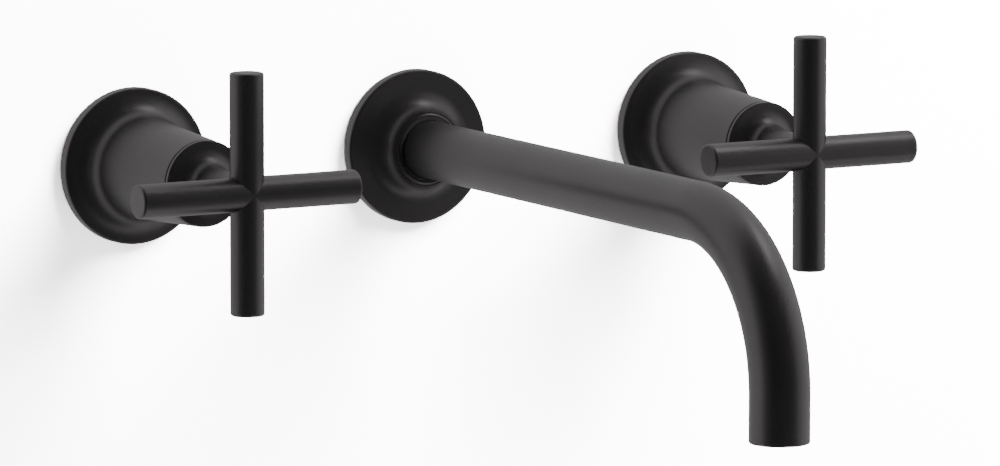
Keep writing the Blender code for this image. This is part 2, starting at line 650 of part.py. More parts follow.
def cartridge_shell(name, brass, parent):
    """The cartridge's housing: stem bore in front, disc chamber behind, a window each side."""
    back = SEAT_OUT + 3 * GAP
    ring_width = SHELL_RING_GROOVE_DEPTH - GAP
    corners = [(CHAMBER_RADIUS, back), (SHELL_RADIUS, back)]
    corners += groove(SHELL_RING_OUT, SHELL_RING_GROOVE_RADIUS, SHELL_RADIUS, ring_width)
    corners += [(SHELL_RADIUS, MOUTH_OUT + GAP), (SHELL_FLANGE_RADIUS, MOUTH_OUT + GAP),
                (SHELL_FLANGE_RADIUS, SHELL_FLANGE_OUT), (SHELL_NOSE_RADIUS, SHELL_FLANGE_OUT),
                (SHELL_NOSE_RADIUS, SHELL_NOSE_OUT), (STEM_RADIUS + TURNING_GAP, SHELL_NOSE_OUT),
                (STEM_RADIUS + TURNING_GAP, CHAMBER_FRONT_OUT), (CHAMBER_RADIUS, CHAMBER_FRONT_OUT)]
    shell = turned(name, corners, brass, COARSE, parent=parent)
    near, far = -OUTLET_OUT - WINDOW_LENGTH / 2, -OUTLET_OUT + WINDOW_LENGTH / 2
    side = VALVE_BORE + OVERCUT
    footprint = [(-side, near), (side, near), (side, far), (-side, far)]
    windows = extruded_shape(footprint, -WINDOW_WIDTH / 2, WINDOW_WIDTH / 2)
    cut(shell, made(f"{name}_windows", windows, parent=parent))
    return shell


def cartridge_ring(name, rubber, parent):
    return seal_ring(name, SHELL_RING_GROOVE_RADIUS + GAP, SHELL_RADIUS, SHELL_RING_OUT, rubber,
                     COARSE, parent=parent)


def bonnet_nut(name, brass, parent):
    """A union nut that clamps the cartridge, with a threaded tube in front for the sleeve."""
    back = NUT_FRONT_OUT - NUT_LIP - GAP - NUT_CUP_LENGTH
    inside = VALVE_THREAD_RADIUS + GAP
    lip = SHELL_FLANGE_OUT + GAP
    corners = [(NUT_HALF_FLATS, back, HEX), (NUT_HALF_FLATS, NUT_FRONT_OUT, HEX),
               (NUT_TUBE_RADIUS, NUT_FRONT_OUT), (NUT_TUBE_RADIUS, NUT_TUBE_OUT),
               (NUT_BORE, NUT_TUBE_OUT), (NUT_BORE, lip), (inside, lip), (inside, back)]
    return turned(name, corners, brass, SPANNER, parent=parent)


def mounting_sleeve(name, brass, parent):
    """The threaded sleeve that the escutcheon screws onto."""
    back, front = NUT_FRONT_OUT + GAP, BUSHING_REAR_OUT - GAP
    corners = [(SLEEVE_RADIUS, back), (SLEEVE_RADIUS, front), (SLEEVE_BORE, front), (SLEEVE_BORE, back)]
    return turned(name, corners, brass, COARSE, parent=parent)


def side_socket(start, reach):
    """A stepped hole for a crossover tube: the tube's own bore, then its socket."""
    bore = CROSSOVER_RADIUS - CROSSOVER_WALL
    socket = CROSSOVER_RADIUS + GAP
    step, mouth = reach - SOCKET_DEPTH, reach + OVERCUT
    return [(0, start), (bore, start), (bore, step), (socket, step), (socket, mouth), (0, mouth)]


def valve_body(name, to_middle, brass, parent):
    """A cast body: barrel for the cartridge, inlet below and outlet towards the middle."""
    screw_hole = BODY_SCREW_RADIUS + GAP
    screw_end = VALVE_BACK_OUT + BODY_SCREW_BITE
    thread_end = MOUTH_OUT - VALVE_THREAD_LENGTH
    barrel = [(0, VALVE_BACK_OUT), (VALVE_RADIUS - VALVE_CHAMFER, VALVE_BACK_OUT),
              (VALVE_RADIUS, VALVE_BACK_OUT + VALVE_CHAMFER),
              (VALVE_RADIUS, thread_end - VALVE_CHAMFER), (VALVE_THREAD_RADIUS, thread_end),
              (VALVE_THREAD_RADIUS, MOUTH_OUT), (0, MOUTH_OUT)]
    body = turned(name, barrel, brass, COARSE, parent=parent)
    middle = Vector((to_middle, 0, 0))
    inlet_at, outlet_at = (0, -INLET_OUT, 0), (0, -OUTLET_OUT, 0)
    inlet = [(0, BOSS_ROOT), (INLET_BOSS_RADIUS, BOSS_ROOT), (INLET_BOSS_RADIUS, INLET_DROP),
             (0, INLET_DROP)]
    outlet = [(0, BOSS_ROOT), (SIDE_BOSS_RADIUS, BOSS_ROOT), (SIDE_BOSS_RADIUS, SIDE_BOSS_REACH),
              (0, SIDE_BOSS_REACH)]
    for label, corners, place, direction in (("inlet", inlet, inlet_at, DOWN),
                                             ("outlet", outlet, outlet_at, middle)):
        join(body, turned(f"{name}_{label}_boss", corners, None, COARSE, place=place,
                          direction=direction, parent=parent))
    bore = [(0, CHAMBER_END_OUT), (CHAMBER_PORT_RADIUS, CHAMBER_END_OUT), (CHAMBER_PORT_RADIUS, SEAT_OUT),
            (VALVE_BORE, SEAT_OUT), (VALVE_BORE, MOUTH_OUT + OVERCUT), (0, MOUTH_OUT + OVERCUT)]
    step = INLET_DROP - INLET_THREAD_LENGTH
    narrow = CHAMBER_PORT_RADIUS - BORE_STEP
    supply = [(0, BORE_STEP), (narrow, BORE_STEP), (narrow, step), (INLET_THREAD_RADIUS, step),
              (INLET_THREAD_RADIUS, INLET_DROP + OVERCUT), (0, INLET_DROP + OVERCUT)]
    socket = side_socket(BOSS_ROOT, SIDE_BOSS_REACH)
    tap_start = VALVE_BACK_OUT - OVERCUT
    tapping = [(0, tap_start), (screw_hole, tap_start), (screw_hole, screw_end),
               (0, screw_end)]
    for label, corners, place, direction in (("bore", bore, (0, 0, 0), OUT),
                                             ("tapping", tapping, (0, 0, 0), OUT),
                                             ("supply", supply, inlet_at, DOWN),
                                             ("socket", socket, outlet_at, middle)):
        cut(body, turned(f"{name}_{label}_cutter", corners, None, COARSE, place=place,
                         direction=direction, parent=parent))
    return body


def crossover_tube(name, side, copper):
    """A copper tube from a valve body's side socket to the tee."""
    start = TEE_REACH - SOCKET_DEPTH + GAP
    end = HANDLE_SPACING / 2 - SIDE_BOSS_REACH + SOCKET_DEPTH - GAP
    bore = CROSSOVER_RADIUS - CROSSOVER_WALL
    corners = [(CROSSOVER_RADIUS, start), (CROSSOVER_RADIUS, end), (bore, end), (bore, start)]
    return turned(name, corners, copper, COARSE, place=(0, -OUTLET_OUT, 0), direction=Vector((side, 0, 0)))


def mixing_tee(name, brass):
    """Both crossover tubes come in at its sides and the spout adapter screws in at the front."""
    place = (0, -OUTLET_OUT, 0)
    across = [(0, -TEE_REACH), (SIDE_BOSS_RADIUS, -TEE_REACH), (SIDE_BOSS_RADIUS, TEE_REACH), (0, TEE_REACH)]
    tee = turned(name, across, brass, COARSE, place=place, direction=Vector((1, 0, 0)))
    mouth = TEE_MOUTH_OUT - OUTLET_OUT
    boss = [(0, BORE_STEP), (TEE_BOSS_RADIUS, BORE_STEP + TEE_BOSS_CONE),
            (TEE_BOSS_RADIUS, mouth), (0, mouth)]
    join(tee, turned(f"{name}_boss", boss, None, COARSE, place=place))
    half = side_socket(0, TEE_REACH)[2:]
    through = [(radius, -along) for radius, along in reversed(half)] + half
    cut(tee, turned(f"{name}_through_cutter", through, None, COARSE, place=place,
                    direction=Vector((1, 0, 0))))
    step = mouth - TEE_THREAD_LENGTH
    bore = CROSSOVER_RADIUS - CROSSOVER_WALL - BORE_STEP
    thread = ADAPTER_THREAD_RADIUS + GAP
    front = [(0, BORE_STEP), (bore, BORE_STEP), (bore, step), (thread, step),
             (thread, mouth + OVERCUT), (0, mouth + OVERCUT)]
    cut(tee, turned(f"{name}_front_cutter", front, None, COARSE, place=place))
    return tee


def spout_adapter(name, brass):
    """Threads into the tee, and carries the spout on a spigot with two sealing rings."""
    back = TEE_MOUTH_OUT - TEE_THREAD_LENGTH + GAP
    hex_back = ADAPTER_HEX_OUT - ADAPTER_HEX_LENGTH
    ring_width = ADAPTER_RING_GROOVE_DEPTH - GAP
    shoulder = SPOUT_START_OUT - GAP
    corners = [(ADAPTER_BORE, back), (ADAPTER_THREAD_RADIUS, back), (ADAPTER_THREAD_RADIUS, hex_back),
               (ADAPTER_HALF_FLATS, hex_back, HEX), (ADAPTER_HALF_FLATS, ADAPTER_HEX_OUT, HEX),
               (SPOUT_RADIUS, ADAPTER_HEX_OUT), (SPOUT_RADIUS, shoulder), (SPIGOT_RADIUS, shoulder)]
    for ring_out in ADAPTER_RING_OUTS.values():
        corners += groove(ring_out, ADAPTER_RING_GROOVE_RADIUS, SPIGOT_RADIUS, ring_width)
    corners += [(SPIGOT_RADIUS, ADAPTER_END_OUT - ADAPTER_CHAMFER),
                (SPIGOT_RADIUS - ADAPTER_CHAMFER, ADAPTER_END_OUT), (ADAPTER_BORE, ADAPTER_END_OUT)]
    adapter = turned(name, corners, brass, TINY)
    dimple_floor = SPOUT_RADIUS - SPOUT_SCREW_LENGTH - 2 * GAP
    radius = SPOUT_SCREW_RADIUS + GAP
    dimple = [(0, dimple_floor), (radius, dimple_floor), (radius, SPOUT_RADIUS), (0, SPOUT_RADIUS)]
    cut(adapter, turned(f"{name}_dimple", dimple, None, TINY, place=(0, -SPOUT_SCREW_OUT, 0), direction=DOWN))
    return adapter


def spout_ring(name, ring_out, rubber):
    return seal_ring(name, ADAPTER_RING_GROOVE_RADIUS + GAP, SPIGOT_RADIUS, ring_out, rubber)


def spout_path():
    """Stations along the tube's middle: a point, and the direction towards the outside of the bend."""
    bend_at = SPOUT_REACH - SPOUT_BEND
    stations = [((0, -SPOUT_START_OUT, 0), 0.0)]
    for k in range(BEND_STEPS + 1):
        angle = pi / 2 * k / BEND_STEPS
        y = -bend_at - SPOUT_BEND * sin(angle)
        z = -SPOUT_BEND + SPOUT_BEND * cos(angle)
        stations.append(((0, y, z), angle))
    stations.append(((0, -SPOUT_REACH, EDGE_ROUND - SPOUT_DROP), pi / 2))
    stations.append(((0, -SPOUT_REACH, -SPOUT_DROP), pi / 2))
    return stations


def spout_tube(name, black):
    """A bent tube with an open end at the tip and a tapped hole underneath near the wall."""
    bm = bmesh.new()
    stations = spout_path()
    edge, tip = stations.pop(-2), stations[-1]
    outside = [(point, angle, SPOUT_RADIUS) for point, angle in stations[:-1] + [edge]]
    outside.append((*tip, SPOUT_RADIUS - EDGE_ROUND / 2))
    inside = [(point, angle, SPOUT_BORE) for point, angle in reversed(stations)]
    rings = []
    for point, angle, radius in outside + inside:
        outer_side = Vector((0, -sin(angle), cos(angle)))
        vertices = []
        for k in range(MEDIUM):
            around = 2 * pi * k / MEDIUM
            offset = Vector((1, 0, 0)) * cos(around) + outer_side * sin(around)
            vertices.append(bm.verts.new(Vector(point) + radius * offset))
        rings.append(vertices)
    for one, other in zip(rings, rings[1:] + rings[:1]):
        bridge(bm, one, other)
    tube = made(name, bm, black)
    radius = SPOUT_SCREW_RADIUS + GAP
    start, end = SPOUT_BORE / 2, SPOUT_RADIUS + OVERCUT
    hole = [(0, start), (radius, start), (radius, end), (0, end)]
    cut(tube, turned(f"{name}_drill", hole, None, TINY, place=(0, -SPOUT_SCREW_OUT, 0), direction=DOWN))
    return tube


def spout_screw(name, steel):
    outer = SPOUT_RADIUS - GAP
    place = (0, -SPOUT_SCREW_OUT, 0)
    return set_screw(name, SPOUT_SCREW_RADIUS, outer - SPOUT_SCREW_LENGTH, outer, steel, place)


def spout_flange(name, black):
    """The wall flange slides over the tube, and a ring in its collar grips it."""
    bore = SPOUT_RADIUS + GAP
    hub = bore + COLLAR_BACK_WALL
    outside = trim_flange(COLLAR_RADIUS, COLLAR_FILLET, hub)
    groove_back = COLLAR_OUT - COLLAR_GROOVE_DEPTH
    front = [(COLLAR_RADIUS - COLLAR_TAPER, COLLAR_OUT), (COLLAR_GROOVE_RADIUS, COLLAR_OUT),
             (COLLAR_GROOVE_RADIUS, groove_back), (bore, groove_back), (bore, EDGE_ROUND), (hub, EDGE_ROUND)]
    return turned(name, outside + front, black, FINE)


def flange_ring(name, rubber):
    """A square rubber ring in the collar's groove, whose flat sides clear the tube."""
    inner = (SPOUT_RADIUS + RING_GAP) / cos(pi / COARSE)
    outer = COLLAR_GROOVE_RADIUS - RING_GAP
    back = COLLAR_OUT - COLLAR_GROOVE_DEPTH + GAP
    front = COLLAR_OUT - RING_GAP
    corners = [(outer, back), (outer, front), (inner, front), (inner, back)]
    return turned(name, corners, rubber, COARSE)


def aerator_housing(name, black):
    """A threaded cup just inside the tip, open above and lipped below."""
    low = SPOUT_DROP - OUTLET_RECESS
    high = low - AERATOR_LENGTH
    inner = SPIGOT_RADIUS - AERATOR_WALL
    lip = low - AERATOR_LIP
    corners = [(SPIGOT_RADIUS, high), (SPIGOT_RADIUS, low), (AERATOR_LIP_HOLE, low),
               (AERATOR_LIP_HOLE, lip), (inner, lip), (inner, high)]
    return turned(name, corners, black, MEDIUM, place=(0, -SPOUT_REACH, 0), direction=DOWN)


def aerator_insert(name, plastic):
    """A flow straightener: a disc with a centre hole and rings of holes, six more in each ring."""
    radius = SPIGOT_RADIUS - AERATOR_WALL - GAP
    low = SPOUT_DROP - OUTLET_RECESS - AERATOR_LIP - GAP
    high = low - INSERT_LENGTH
    place = (0, -SPOUT_REACH, 0)
    corners = [(0, high), (radius, high), (radius, low), (0, low)]
    insert = turned(name, corners, plastic, MEDIUM, place=place, direction=DOWN)
    bm = bmesh.new()
    laps = int((radius - INSERT_RIM) / INSERT_HOLE_PITCH)
    for lap in range(laps + 1):
        for k in range(max(1, 6 * lap)):
            angle = 2 * pi * k / max(1, 6 * lap)
            x, y = INSERT_HOLE_PITCH * lap * cos(angle), INSERT_HOLE_PITCH * lap * sin(angle)
            centre = Matrix.Translation((x, y - SPOUT_REACH, -(low + high) / 2))
            bmesh.ops.create_cone(bm, cap_ends=True, segments=6, radius1=INSERT_HOLE_RADIUS,
                                  radius2=INSERT_HOLE_RADIUS, depth=INSERT_LENGTH + 2 * OVERCUT,
                                  matrix=centre)
    cut(insert, made(f"{name}_holes", bm))
    return insert


def aerator_washer(name, rubber):
    low = SPOUT_DROP - OUTLET_RECESS - AERATOR_LENGTH - GAP
    high = low - WASHER_LENGTH
    corners = [(SPIGOT_RADIUS, high), (SPIGOT_RADIUS, low), (AERATOR_LIP_HOLE, low), (AERATOR_LIP_HOLE, high)]
    return turned(name, corners, rubber, COARSE, place=(0, -SPOUT_REACH, 0), direction=DOWN)


def foot_middle():
    """How far each stud screw is from the middle of the faucet."""
    return HANDLE_SPACING / 2 + BRACKET_OVERHANG + BRACKET_SLOPE + BRACKET_FOOT / 2


def mounting_bracket(name, zinc):
    """A stepped steel strap behind both valve bodies, with a slotted foot at each end."""
    near, far = -BRACKET_OUT, -FOOT_OUT
    knee = HANDLE_SPACING / 2 + BRACKET_OVERHANG
    heel = knee + BRACKET_SLOPE
    toe = heel + BRACKET_FOOT
    lean = BRACKET_THICKNESS * BRACKET_SLOPE / hypot(BRACKET_SLOPE, BRACKET_STEP)
    front = [(-toe, far), (-heel, far), (-knee, near), (knee, near), (heel, far), (toe, far)]
    back = [(toe, far + BRACKET_THICKNESS), (heel - lean, far + BRACKET_THICKNESS),
            (knee - lean, near + BRACKET_THICKNESS), (-knee + lean, near + BRACKET_THICKNESS),
            (-heel + lean, far + BRACKET_THICKNESS), (-toe, far + BRACKET_THICKNESS)]
    shape = extruded_shape(front + back, -BRACKET_HALF_HEIGHT, BRACKET_HALF_HEIGHT)
    strap = made(name, shape, zinc)
    radius = BODY_SCREW_RADIUS + GAP
    hole = [(0, FOOT_OUT), (radius, FOOT_OUT), (radius, MOUTH_OUT), (0, MOUTH_OUT)]
    for label, side in (("hot", -1), ("cold", 1)):
        cut(strap, turned(f"{name}_{label}_hole", hole, None, TINY, place=(side * HANDLE_SPACING / 2, 0, 0)))
        for level in (-1, 1):
            slot_x, slot_z = side * foot_middle(), level * STUD_SCREW_HEIGHT
            cut(strap, slot_cutter(f"{name}_{label}_slot_{level}", slot_x, slot_z))
    return strap


def slot_cutter(name, x, z):
    """A round-ended slot across a foot of the bracket, along X."""
    radius = STUD_SCREW_RADIUS + GAP
    straight = SLOT_LENGTH / 2
    right = [(x + straight + px, z + pz) for px, pz in arc(0, 0, radius, -pi / 2, pi / 2, ARC_STEPS)]
    left = [(x - straight + px, z + pz) for px, pz in arc(0, 0, radius, pi / 2, 3 * pi / 2, ARC_STEPS)]
    bm = bmesh.new()
    low = [bm.verts.new((px, -FOOT_OUT - OVERCUT, pz)) for px, pz in right + left]
    high = [bm.verts.new((px, -FOOT_OUT + BRACKET_THICKNESS + OVERCUT, pz)) for px, pz in right + left]
    bm.faces.new(low)
    bm.faces.new(high)
    bridge(bm, low, high)
    return made(name, bm)


def body_screw(name, side, steel):
    """A socket screw through the bracket into the back of a valve body."""
    tip = VALVE_BACK_OUT + BODY_SCREW_BITE - GAP
    seat = BRACKET_OUT - BRACKET_THICKNESS - GAP
    head = seat - BODY_SCREW_HEAD
    socket = head + BODY_SCREW_HEAD / 2
    half_key = BODY_SCREW_HEAD_RADIUS / 2
    corners = [(0, tip), (BODY_SCREW_RADIUS, tip), (BODY_SCREW_RADIUS, seat), (BODY_SCREW_HEAD_RADIUS, seat),
               (BODY_SCREW_HEAD_RADIUS, head), (half_key, head, HEX), (half_key, socket, HEX), (0, socket)]
    return turned(name, corners, steel, TINY, place=(side * HANDLE_SPACING / 2, 0, 0))


def stud_screw(name, side, level, steel):
    """A pan head wood screw through a foot of the bracket."""
    seat = FOOT_OUT + GAP
    head = seat + STUD_SCREW_HEAD
    tip = seat - STUD_SCREW_LENGTH
    socket = head - STUD_SCREW_HEAD / 2
    half_key = STUD_SCREW_HEAD_RADIUS * STUD_SCREW_KEY
    corners = [(0, tip), (STUD_SCREW_RADIUS, tip + 2 * STUD_SCREW_RADIUS), (STUD_SCREW_RADIUS, seat),
               (STUD_SCREW_HEAD_RADIUS, seat), (STUD_SCREW_HEAD_RADIUS, seat + STUD_SCREW_HEAD / 2),
               (STUD_SCREW_HEAD_RADIUS * STUD_SCREW_CROWN, head),
               (half_key, head, HEX), (half_key, socket, HEX), (0, socket)]
    place = (side * foot_middle(), 0, level * STUD_SCREW_HEIGHT)
    return turned(name, corners, steel, TINY, place=place)


def build_side(side, sign, finishes):
    """Everything on one handle's axis. What turns hangs from an empty of its own."""
    axis = (sign * HANDLE_SPACING / 2, 0, 0)
    fixed = empty(f"{side}_side", axis)
    turning = empty(f"{side}_turning", axis)
    valve_body(f"{side}_valve_body", -sign, finishes["cast_brass"], fixed)
    cartridge_shell(f"{side}_cartridge_shell", finishes["brass"], fixed)
    cartridge_ring(f"{side}_cartridge_o_ring", finishes["rubber"], fixed)
    seat_seal(f"{side}_seat_seal", finishes["rubber"], fixed)
    ceramic_disc(f"{side}_fixed_disc", FIXED_DISC_OUT, 0, finishes["ceramic"], fixed)
    bonnet_nut(f"{side}_bonnet_nut", finishes["brass"], fixed)
    mounting_sleeve(f"{side}_mounting_sleeve", finishes["brass"], fixed)
    escutcheon(f"{side}_escutcheon", finishes["black"], fixed)
    wall_gasket(f"{side}_wall_gasket", finishes["foam"], fixed)
    handle_bushing(f"{side}_handle_bushing", finishes["nylon"], fixed)
    moving_disc(f"{side}_moving_disc", finishes["ceramic"], turning)
    stem(f"{side}_stem", finishes["brass"], turning)
    stem_ring(f"{side}_stem_o_ring", finishes["rubber"], turning)
    stem_clip(f"{side}_stem_clip", finishes["steel"], turning)
    stem_extension(f"{side}_stem_extension", finishes["brass"], turning)
    handle(f"{side}_handle", finishes["black"], turning)
    handle_screw(f"{side}_handle_screw", finishes["steel"], turning)
    crossover_tube(f"{side}_crossover_tube", sign, finishes["copper"])
    body_screw(f"{side}_body_screw", sign, finishes["steel"])


def build_spout(finishes):
    spout_tube("spout_tube", finishes["black"])
    spout_flange("spout_flange", finishes["black"])
    flange_ring("spout_flange_ring", finishes["rubber"])
    wall_gasket("spout_wall_gasket", finishes["foam"])
    spout_adapter("spout_adapter", finishes["brass"])
    for label, ring_out in ADAPTER_RING_OUTS.items():
        spout_ring(f"spout_o_ring_{label}", ring_out, finishes["rubber"])
    spout_screw("spout_screw", finishes["steel"])
    aerator_housing("aerator_housing", finishes["black"])
    aerator_insert("aerator_insert", finishes["plastic"])
    aerator_washer("aerator_washer", finishes["rubber"])
    mixing_tee("mixing_tee", finishes["cast_brass"])


def build_bracket(finishes):
    mounting_bracket("mounting_bracket", finishes["zinc"])
    number = 0
    for side in (-1, 1):
        for level in (-1, 1):
            number += 1
            stud_screw(f"stud_screw_{number}", side, level, finishes["steel"])


def main():
    clear_scene()
    finishes = {
        "black": finish("matte_black", (0.018, 0.018, 0.019), 0.42),
        "brass": finish("machined_brass", (0.72, 0.52, 0.22), 0.28, 1.0),
        "cast_brass": finish("cast_brass", (0.60, 0.43, 0.19), 0.5, 1.0),
        "copper": finish("copper", (0.78, 0.40, 0.25), 0.3, 1.0),
        "steel": finish("steel", (0.55, 0.55, 0.56), 0.3, 1.0),
        "zinc": finish("zinc_plate", (0.60, 0.61, 0.62), 0.4, 1.0),
        "ceramic": finish("ceramic", (0.85, 0.84, 0.80), 0.25),
        "nylon": finish("nylon", (0.80, 0.79, 0.74), 0.5),
        "plastic": finish("acetal", (0.60, 0.61, 0.62), 0.5),
        "rubber": finish("rubber", (0.03, 0.03, 0.03), 0.7),
        "foam": finish("foam", (0.07, 0.07, 0.07), 0.9),
    }
    build_side("hot", -1, finishes)
    build_side("cold", 1, finishes)
    build_spout(finishes)
    build_bracket(finishes)


main()
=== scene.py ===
# %% [markdown]
# # A wall mounted bath faucet
#
# Two cross handles turn ceramic cartridges, and a long tube carries the water out over the bath.
# Everything in the room has one matt black coat. Everything behind the wall is bare brass,
# copper and steel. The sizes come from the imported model, which this script loads first. The
# script then makes each piece again with the smooth surfaces and finishes of the real one.

# %% Load the frame
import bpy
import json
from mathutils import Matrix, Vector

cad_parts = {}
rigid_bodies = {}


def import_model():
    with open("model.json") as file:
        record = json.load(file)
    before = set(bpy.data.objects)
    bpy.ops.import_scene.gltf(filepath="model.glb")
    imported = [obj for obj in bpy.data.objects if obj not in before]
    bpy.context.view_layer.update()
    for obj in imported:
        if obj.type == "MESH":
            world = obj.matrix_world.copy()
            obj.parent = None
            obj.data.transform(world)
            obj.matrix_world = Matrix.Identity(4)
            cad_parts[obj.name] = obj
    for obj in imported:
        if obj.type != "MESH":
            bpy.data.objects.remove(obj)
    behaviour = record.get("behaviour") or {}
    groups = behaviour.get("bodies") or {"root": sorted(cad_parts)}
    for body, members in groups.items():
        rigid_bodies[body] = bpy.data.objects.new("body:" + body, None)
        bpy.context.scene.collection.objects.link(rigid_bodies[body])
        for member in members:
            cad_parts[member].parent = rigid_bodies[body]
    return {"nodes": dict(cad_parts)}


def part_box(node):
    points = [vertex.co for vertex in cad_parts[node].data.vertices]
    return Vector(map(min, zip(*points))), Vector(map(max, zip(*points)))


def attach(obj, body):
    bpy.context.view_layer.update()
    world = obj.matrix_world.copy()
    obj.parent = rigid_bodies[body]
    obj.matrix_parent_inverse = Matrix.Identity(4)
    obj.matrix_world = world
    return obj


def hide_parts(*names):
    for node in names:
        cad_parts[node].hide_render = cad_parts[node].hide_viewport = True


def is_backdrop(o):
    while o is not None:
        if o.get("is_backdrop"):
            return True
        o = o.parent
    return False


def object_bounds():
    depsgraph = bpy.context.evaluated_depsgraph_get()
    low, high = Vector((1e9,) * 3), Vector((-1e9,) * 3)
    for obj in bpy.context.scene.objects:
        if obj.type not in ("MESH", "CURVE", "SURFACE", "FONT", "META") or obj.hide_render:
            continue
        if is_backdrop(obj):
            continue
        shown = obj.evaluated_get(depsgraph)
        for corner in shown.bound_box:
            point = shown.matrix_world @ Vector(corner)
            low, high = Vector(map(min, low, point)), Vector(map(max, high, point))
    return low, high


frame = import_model()

cad_low, cad_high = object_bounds()
print("the packed model has", len(frame["nodes"]), "pieces")

# %% The tools used in every cell
import json
from math import cos, pi, radians, sin

import bpy
import bmesh
from mathutils import Matrix, Vector

MM = 0.001
OUT = Vector((0, -1, 0))
DOWN = Vector((0, 0, -1))
SIDES = {"hot": -1, "cold": 1}
FIXED = "faucet_body"

# %% [markdown]
# ## Sizes
#
# The wall is the plane y = 0, and the room is on its -Y side. A piece's box gives its place, so
# nothing is measured twice: half the width of a flange's box is its radius, and so on. A length
# called "out" runs from the wall into the room, so inside the wall it is below zero.

# %% Read the sizes from the frame


def half_width(node):
    low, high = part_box(node)
    return (high.x - low.x) / 2


def middle_x(node):
    low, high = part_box(node)
    return (high.x + low.x) / 2


def out_to(node):
    """How far a piece reaches into the room."""
    return -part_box(node)[0].y


def out_from(node):
    """Where a piece starts, counted from the wall into the room."""
    return -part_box(node)[1].y


AXIS_X = {side: middle_x(f"{side}_handle") for side in SIDES}
FLANGE_RADIUS = half_width("hot_escutcheon")
NECK_END_OUT = out_to("hot_escutcheon")
ARM_REACH = half_width("hot_handle")
ARM_RADIUS = 5.36 * MM
HANDLE_OUT = out_to("hot_handle") - ARM_RADIUS
SPOUT_RADIUS = half_width("spout_tube")
SPOUT_REACH = out_to("spout_tube") - SPOUT_RADIUS
SPOUT_DROP = -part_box("spout_tube")[0].z
SPOUT_START_OUT = out_from("spout_tube")
SPOUT_BEND = 49.5 * MM
SPOUT_WALL = 1.6 * MM
SPOUT_BORE = SPOUT_RADIUS - SPOUT_WALL
print(f"handles {1000 * (AXIS_X['cold'] - AXIS_X['hot']):.1f} mm apart")
print(f"spout reach {1000 * SPOUT_REACH:.1f} mm")

# %% [markdown]
# ## Camera
#
# A long lens from the left and a little above, far enough away that the parallel lines of the
# handles stay nearly parallel. The camera looks at a point in the middle of the faucet.

# %% Camera
CAMERA_AZIMUTH = radians(29.08)
CAMERA_HEIGHT = radians(7.88)
CAMERA_DISTANCE = 2.92755
CAMERA_LENS = 290.2
CAMERA_TARGET = Vector((175.75, 257.35, -71.63)) * MM


def place_camera():
    data = bpy.data.cameras.new("camera")
    data.lens = CAMERA_LENS
    data.sensor_width = 36
    data.clip_start, data.clip_end = 0.1, 50
    camera = bpy.data.objects.new("camera", data)
    bpy.context.scene.collection.objects.link(camera)
    level = cos(CAMERA_HEIGHT)
    back = Vector((-sin(CAMERA_AZIMUTH) * level, -cos(CAMERA_AZIMUTH) * level, sin(CAMERA_HEIGHT)))
    camera.location = CAMERA_TARGET + back * CAMERA_DISTANCE
    camera.rotation_euler = (-back).to_track_quat("-Z", "Y").to_euler()
    bpy.context.scene.camera = camera
    return camera


camera = place_camera()
print("camera at", [round(c, 3) for c in camera.location])

# %% [markdown]
# ## Node helpers
#
# Materials and geometry trees are built by the same few calls: add a node, set its values, and
# link it. A shader node group is built once and gives out only masks, heights and colours.

# %% Node helpers


def add(tree, kind, settings=None, **inputs):
    """A node. settings are its options; inputs are values or sockets, by name or place."""
    node = tree.nodes.new(kind)
    for name, value in (settings or {}).items():
        setattr(node, name, value)
    for name, value in inputs.items():
        feed(tree, node, name.replace("_", " "), value)
    return node


def feed(tree, node, socket, value):
    """Gives a socket a value, or links another node's output to it."""
    target = node.inputs[socket]
    if isinstance(value, bpy.types.NodeSocket):
        tree.links.new(value, target)
    else:
        target.default_value = value


def math(tree, operation, first, second=0.0, third=None):
    """One step of arithmetic; returns its output."""
    kind = "ShaderNodeMath"
    node = tree.nodes.new(kind)
    node.operation = operation
    feed(tree, node, 0, first)
    feed(tree, node, 1, second)
    if third is not None:
        feed(tree, node, 2, third)
    return node.outputs[0]


def shader_group(name, inputs, outputs):
    """An empty shader node group with named sockets; returns the tree, its inputs and its end."""
    tree = bpy.data.node_groups.new(name, "ShaderNodeTree")
    for label, value in inputs.items():
        socket = tree.interface.new_socket(label, in_out="INPUT", socket_type="NodeSocketFloat")
        socket.default_value = value
    for label, kind in outputs.items():
        tree.interface.new_socket(label, in_out="OUTPUT", socket_type=kind)
    start = tree.nodes.new("NodeGroupInput")
    end = tree.nodes.new("NodeGroupOutput")
    return tree, start.outputs, end.inputs


def place_group(tree, group, **inputs):
    node = tree.nodes.new("ShaderNodeGroup")
    node.node_tree = group
    for name, value in inputs.items():
        feed(tree, node, name.replace("_", " "), value)
    return node


def new_material(name, roughness=0.5, metallic=0.0, colour=(0.5, 0.5, 0.5)):
    material = bpy.data.materials.new(name)
    material.use_nodes = True
    tree = material.node_tree
    shader = tree.nodes["Principled BSDF"]
    shader.inputs["Base Color"].default_value = (*colour, 1)
    shader.inputs["Roughness"].default_value = roughness
    shader.inputs["Metallic"].default_value = metallic
    return material, tree, shader


def mix_colours(tree, factor, first, second):
    node = tree.nodes.new("ShaderNodeMix")
    node.data_type = "RGBA"
    feed(tree, node, 0, factor)
    for place, colour in ((6, first), (7, second)):
        if not isinstance(colour, bpy.types.NodeSocket):
            colour = (*colour, 1)
        feed(tree, node, place, colour)
    return node.outputs[2]


def bump(tree, shader, height, strength, distance):
    node = tree.nodes.new("ShaderNodeBump")
    feed(tree, node, "Height", height)
    feed(tree, node, "Strength", strength)
    feed(tree, node, "Distance", distance)
    tree.links.new(node.outputs["Normal"], shader.inputs["Normal"])


# %% [markdown]
# ## The surfaces, as shader groups
#
# Four effects return in several finishes. A coat or a casting has a fine random grain. A turned
# piece has rings that the tool left, which follow the work's own axis. A drawn tube has long
# lines. Handled metal has faint smudges, where the roughness changes a little from place to place.

# %% Grain, for coats, castings and rubber


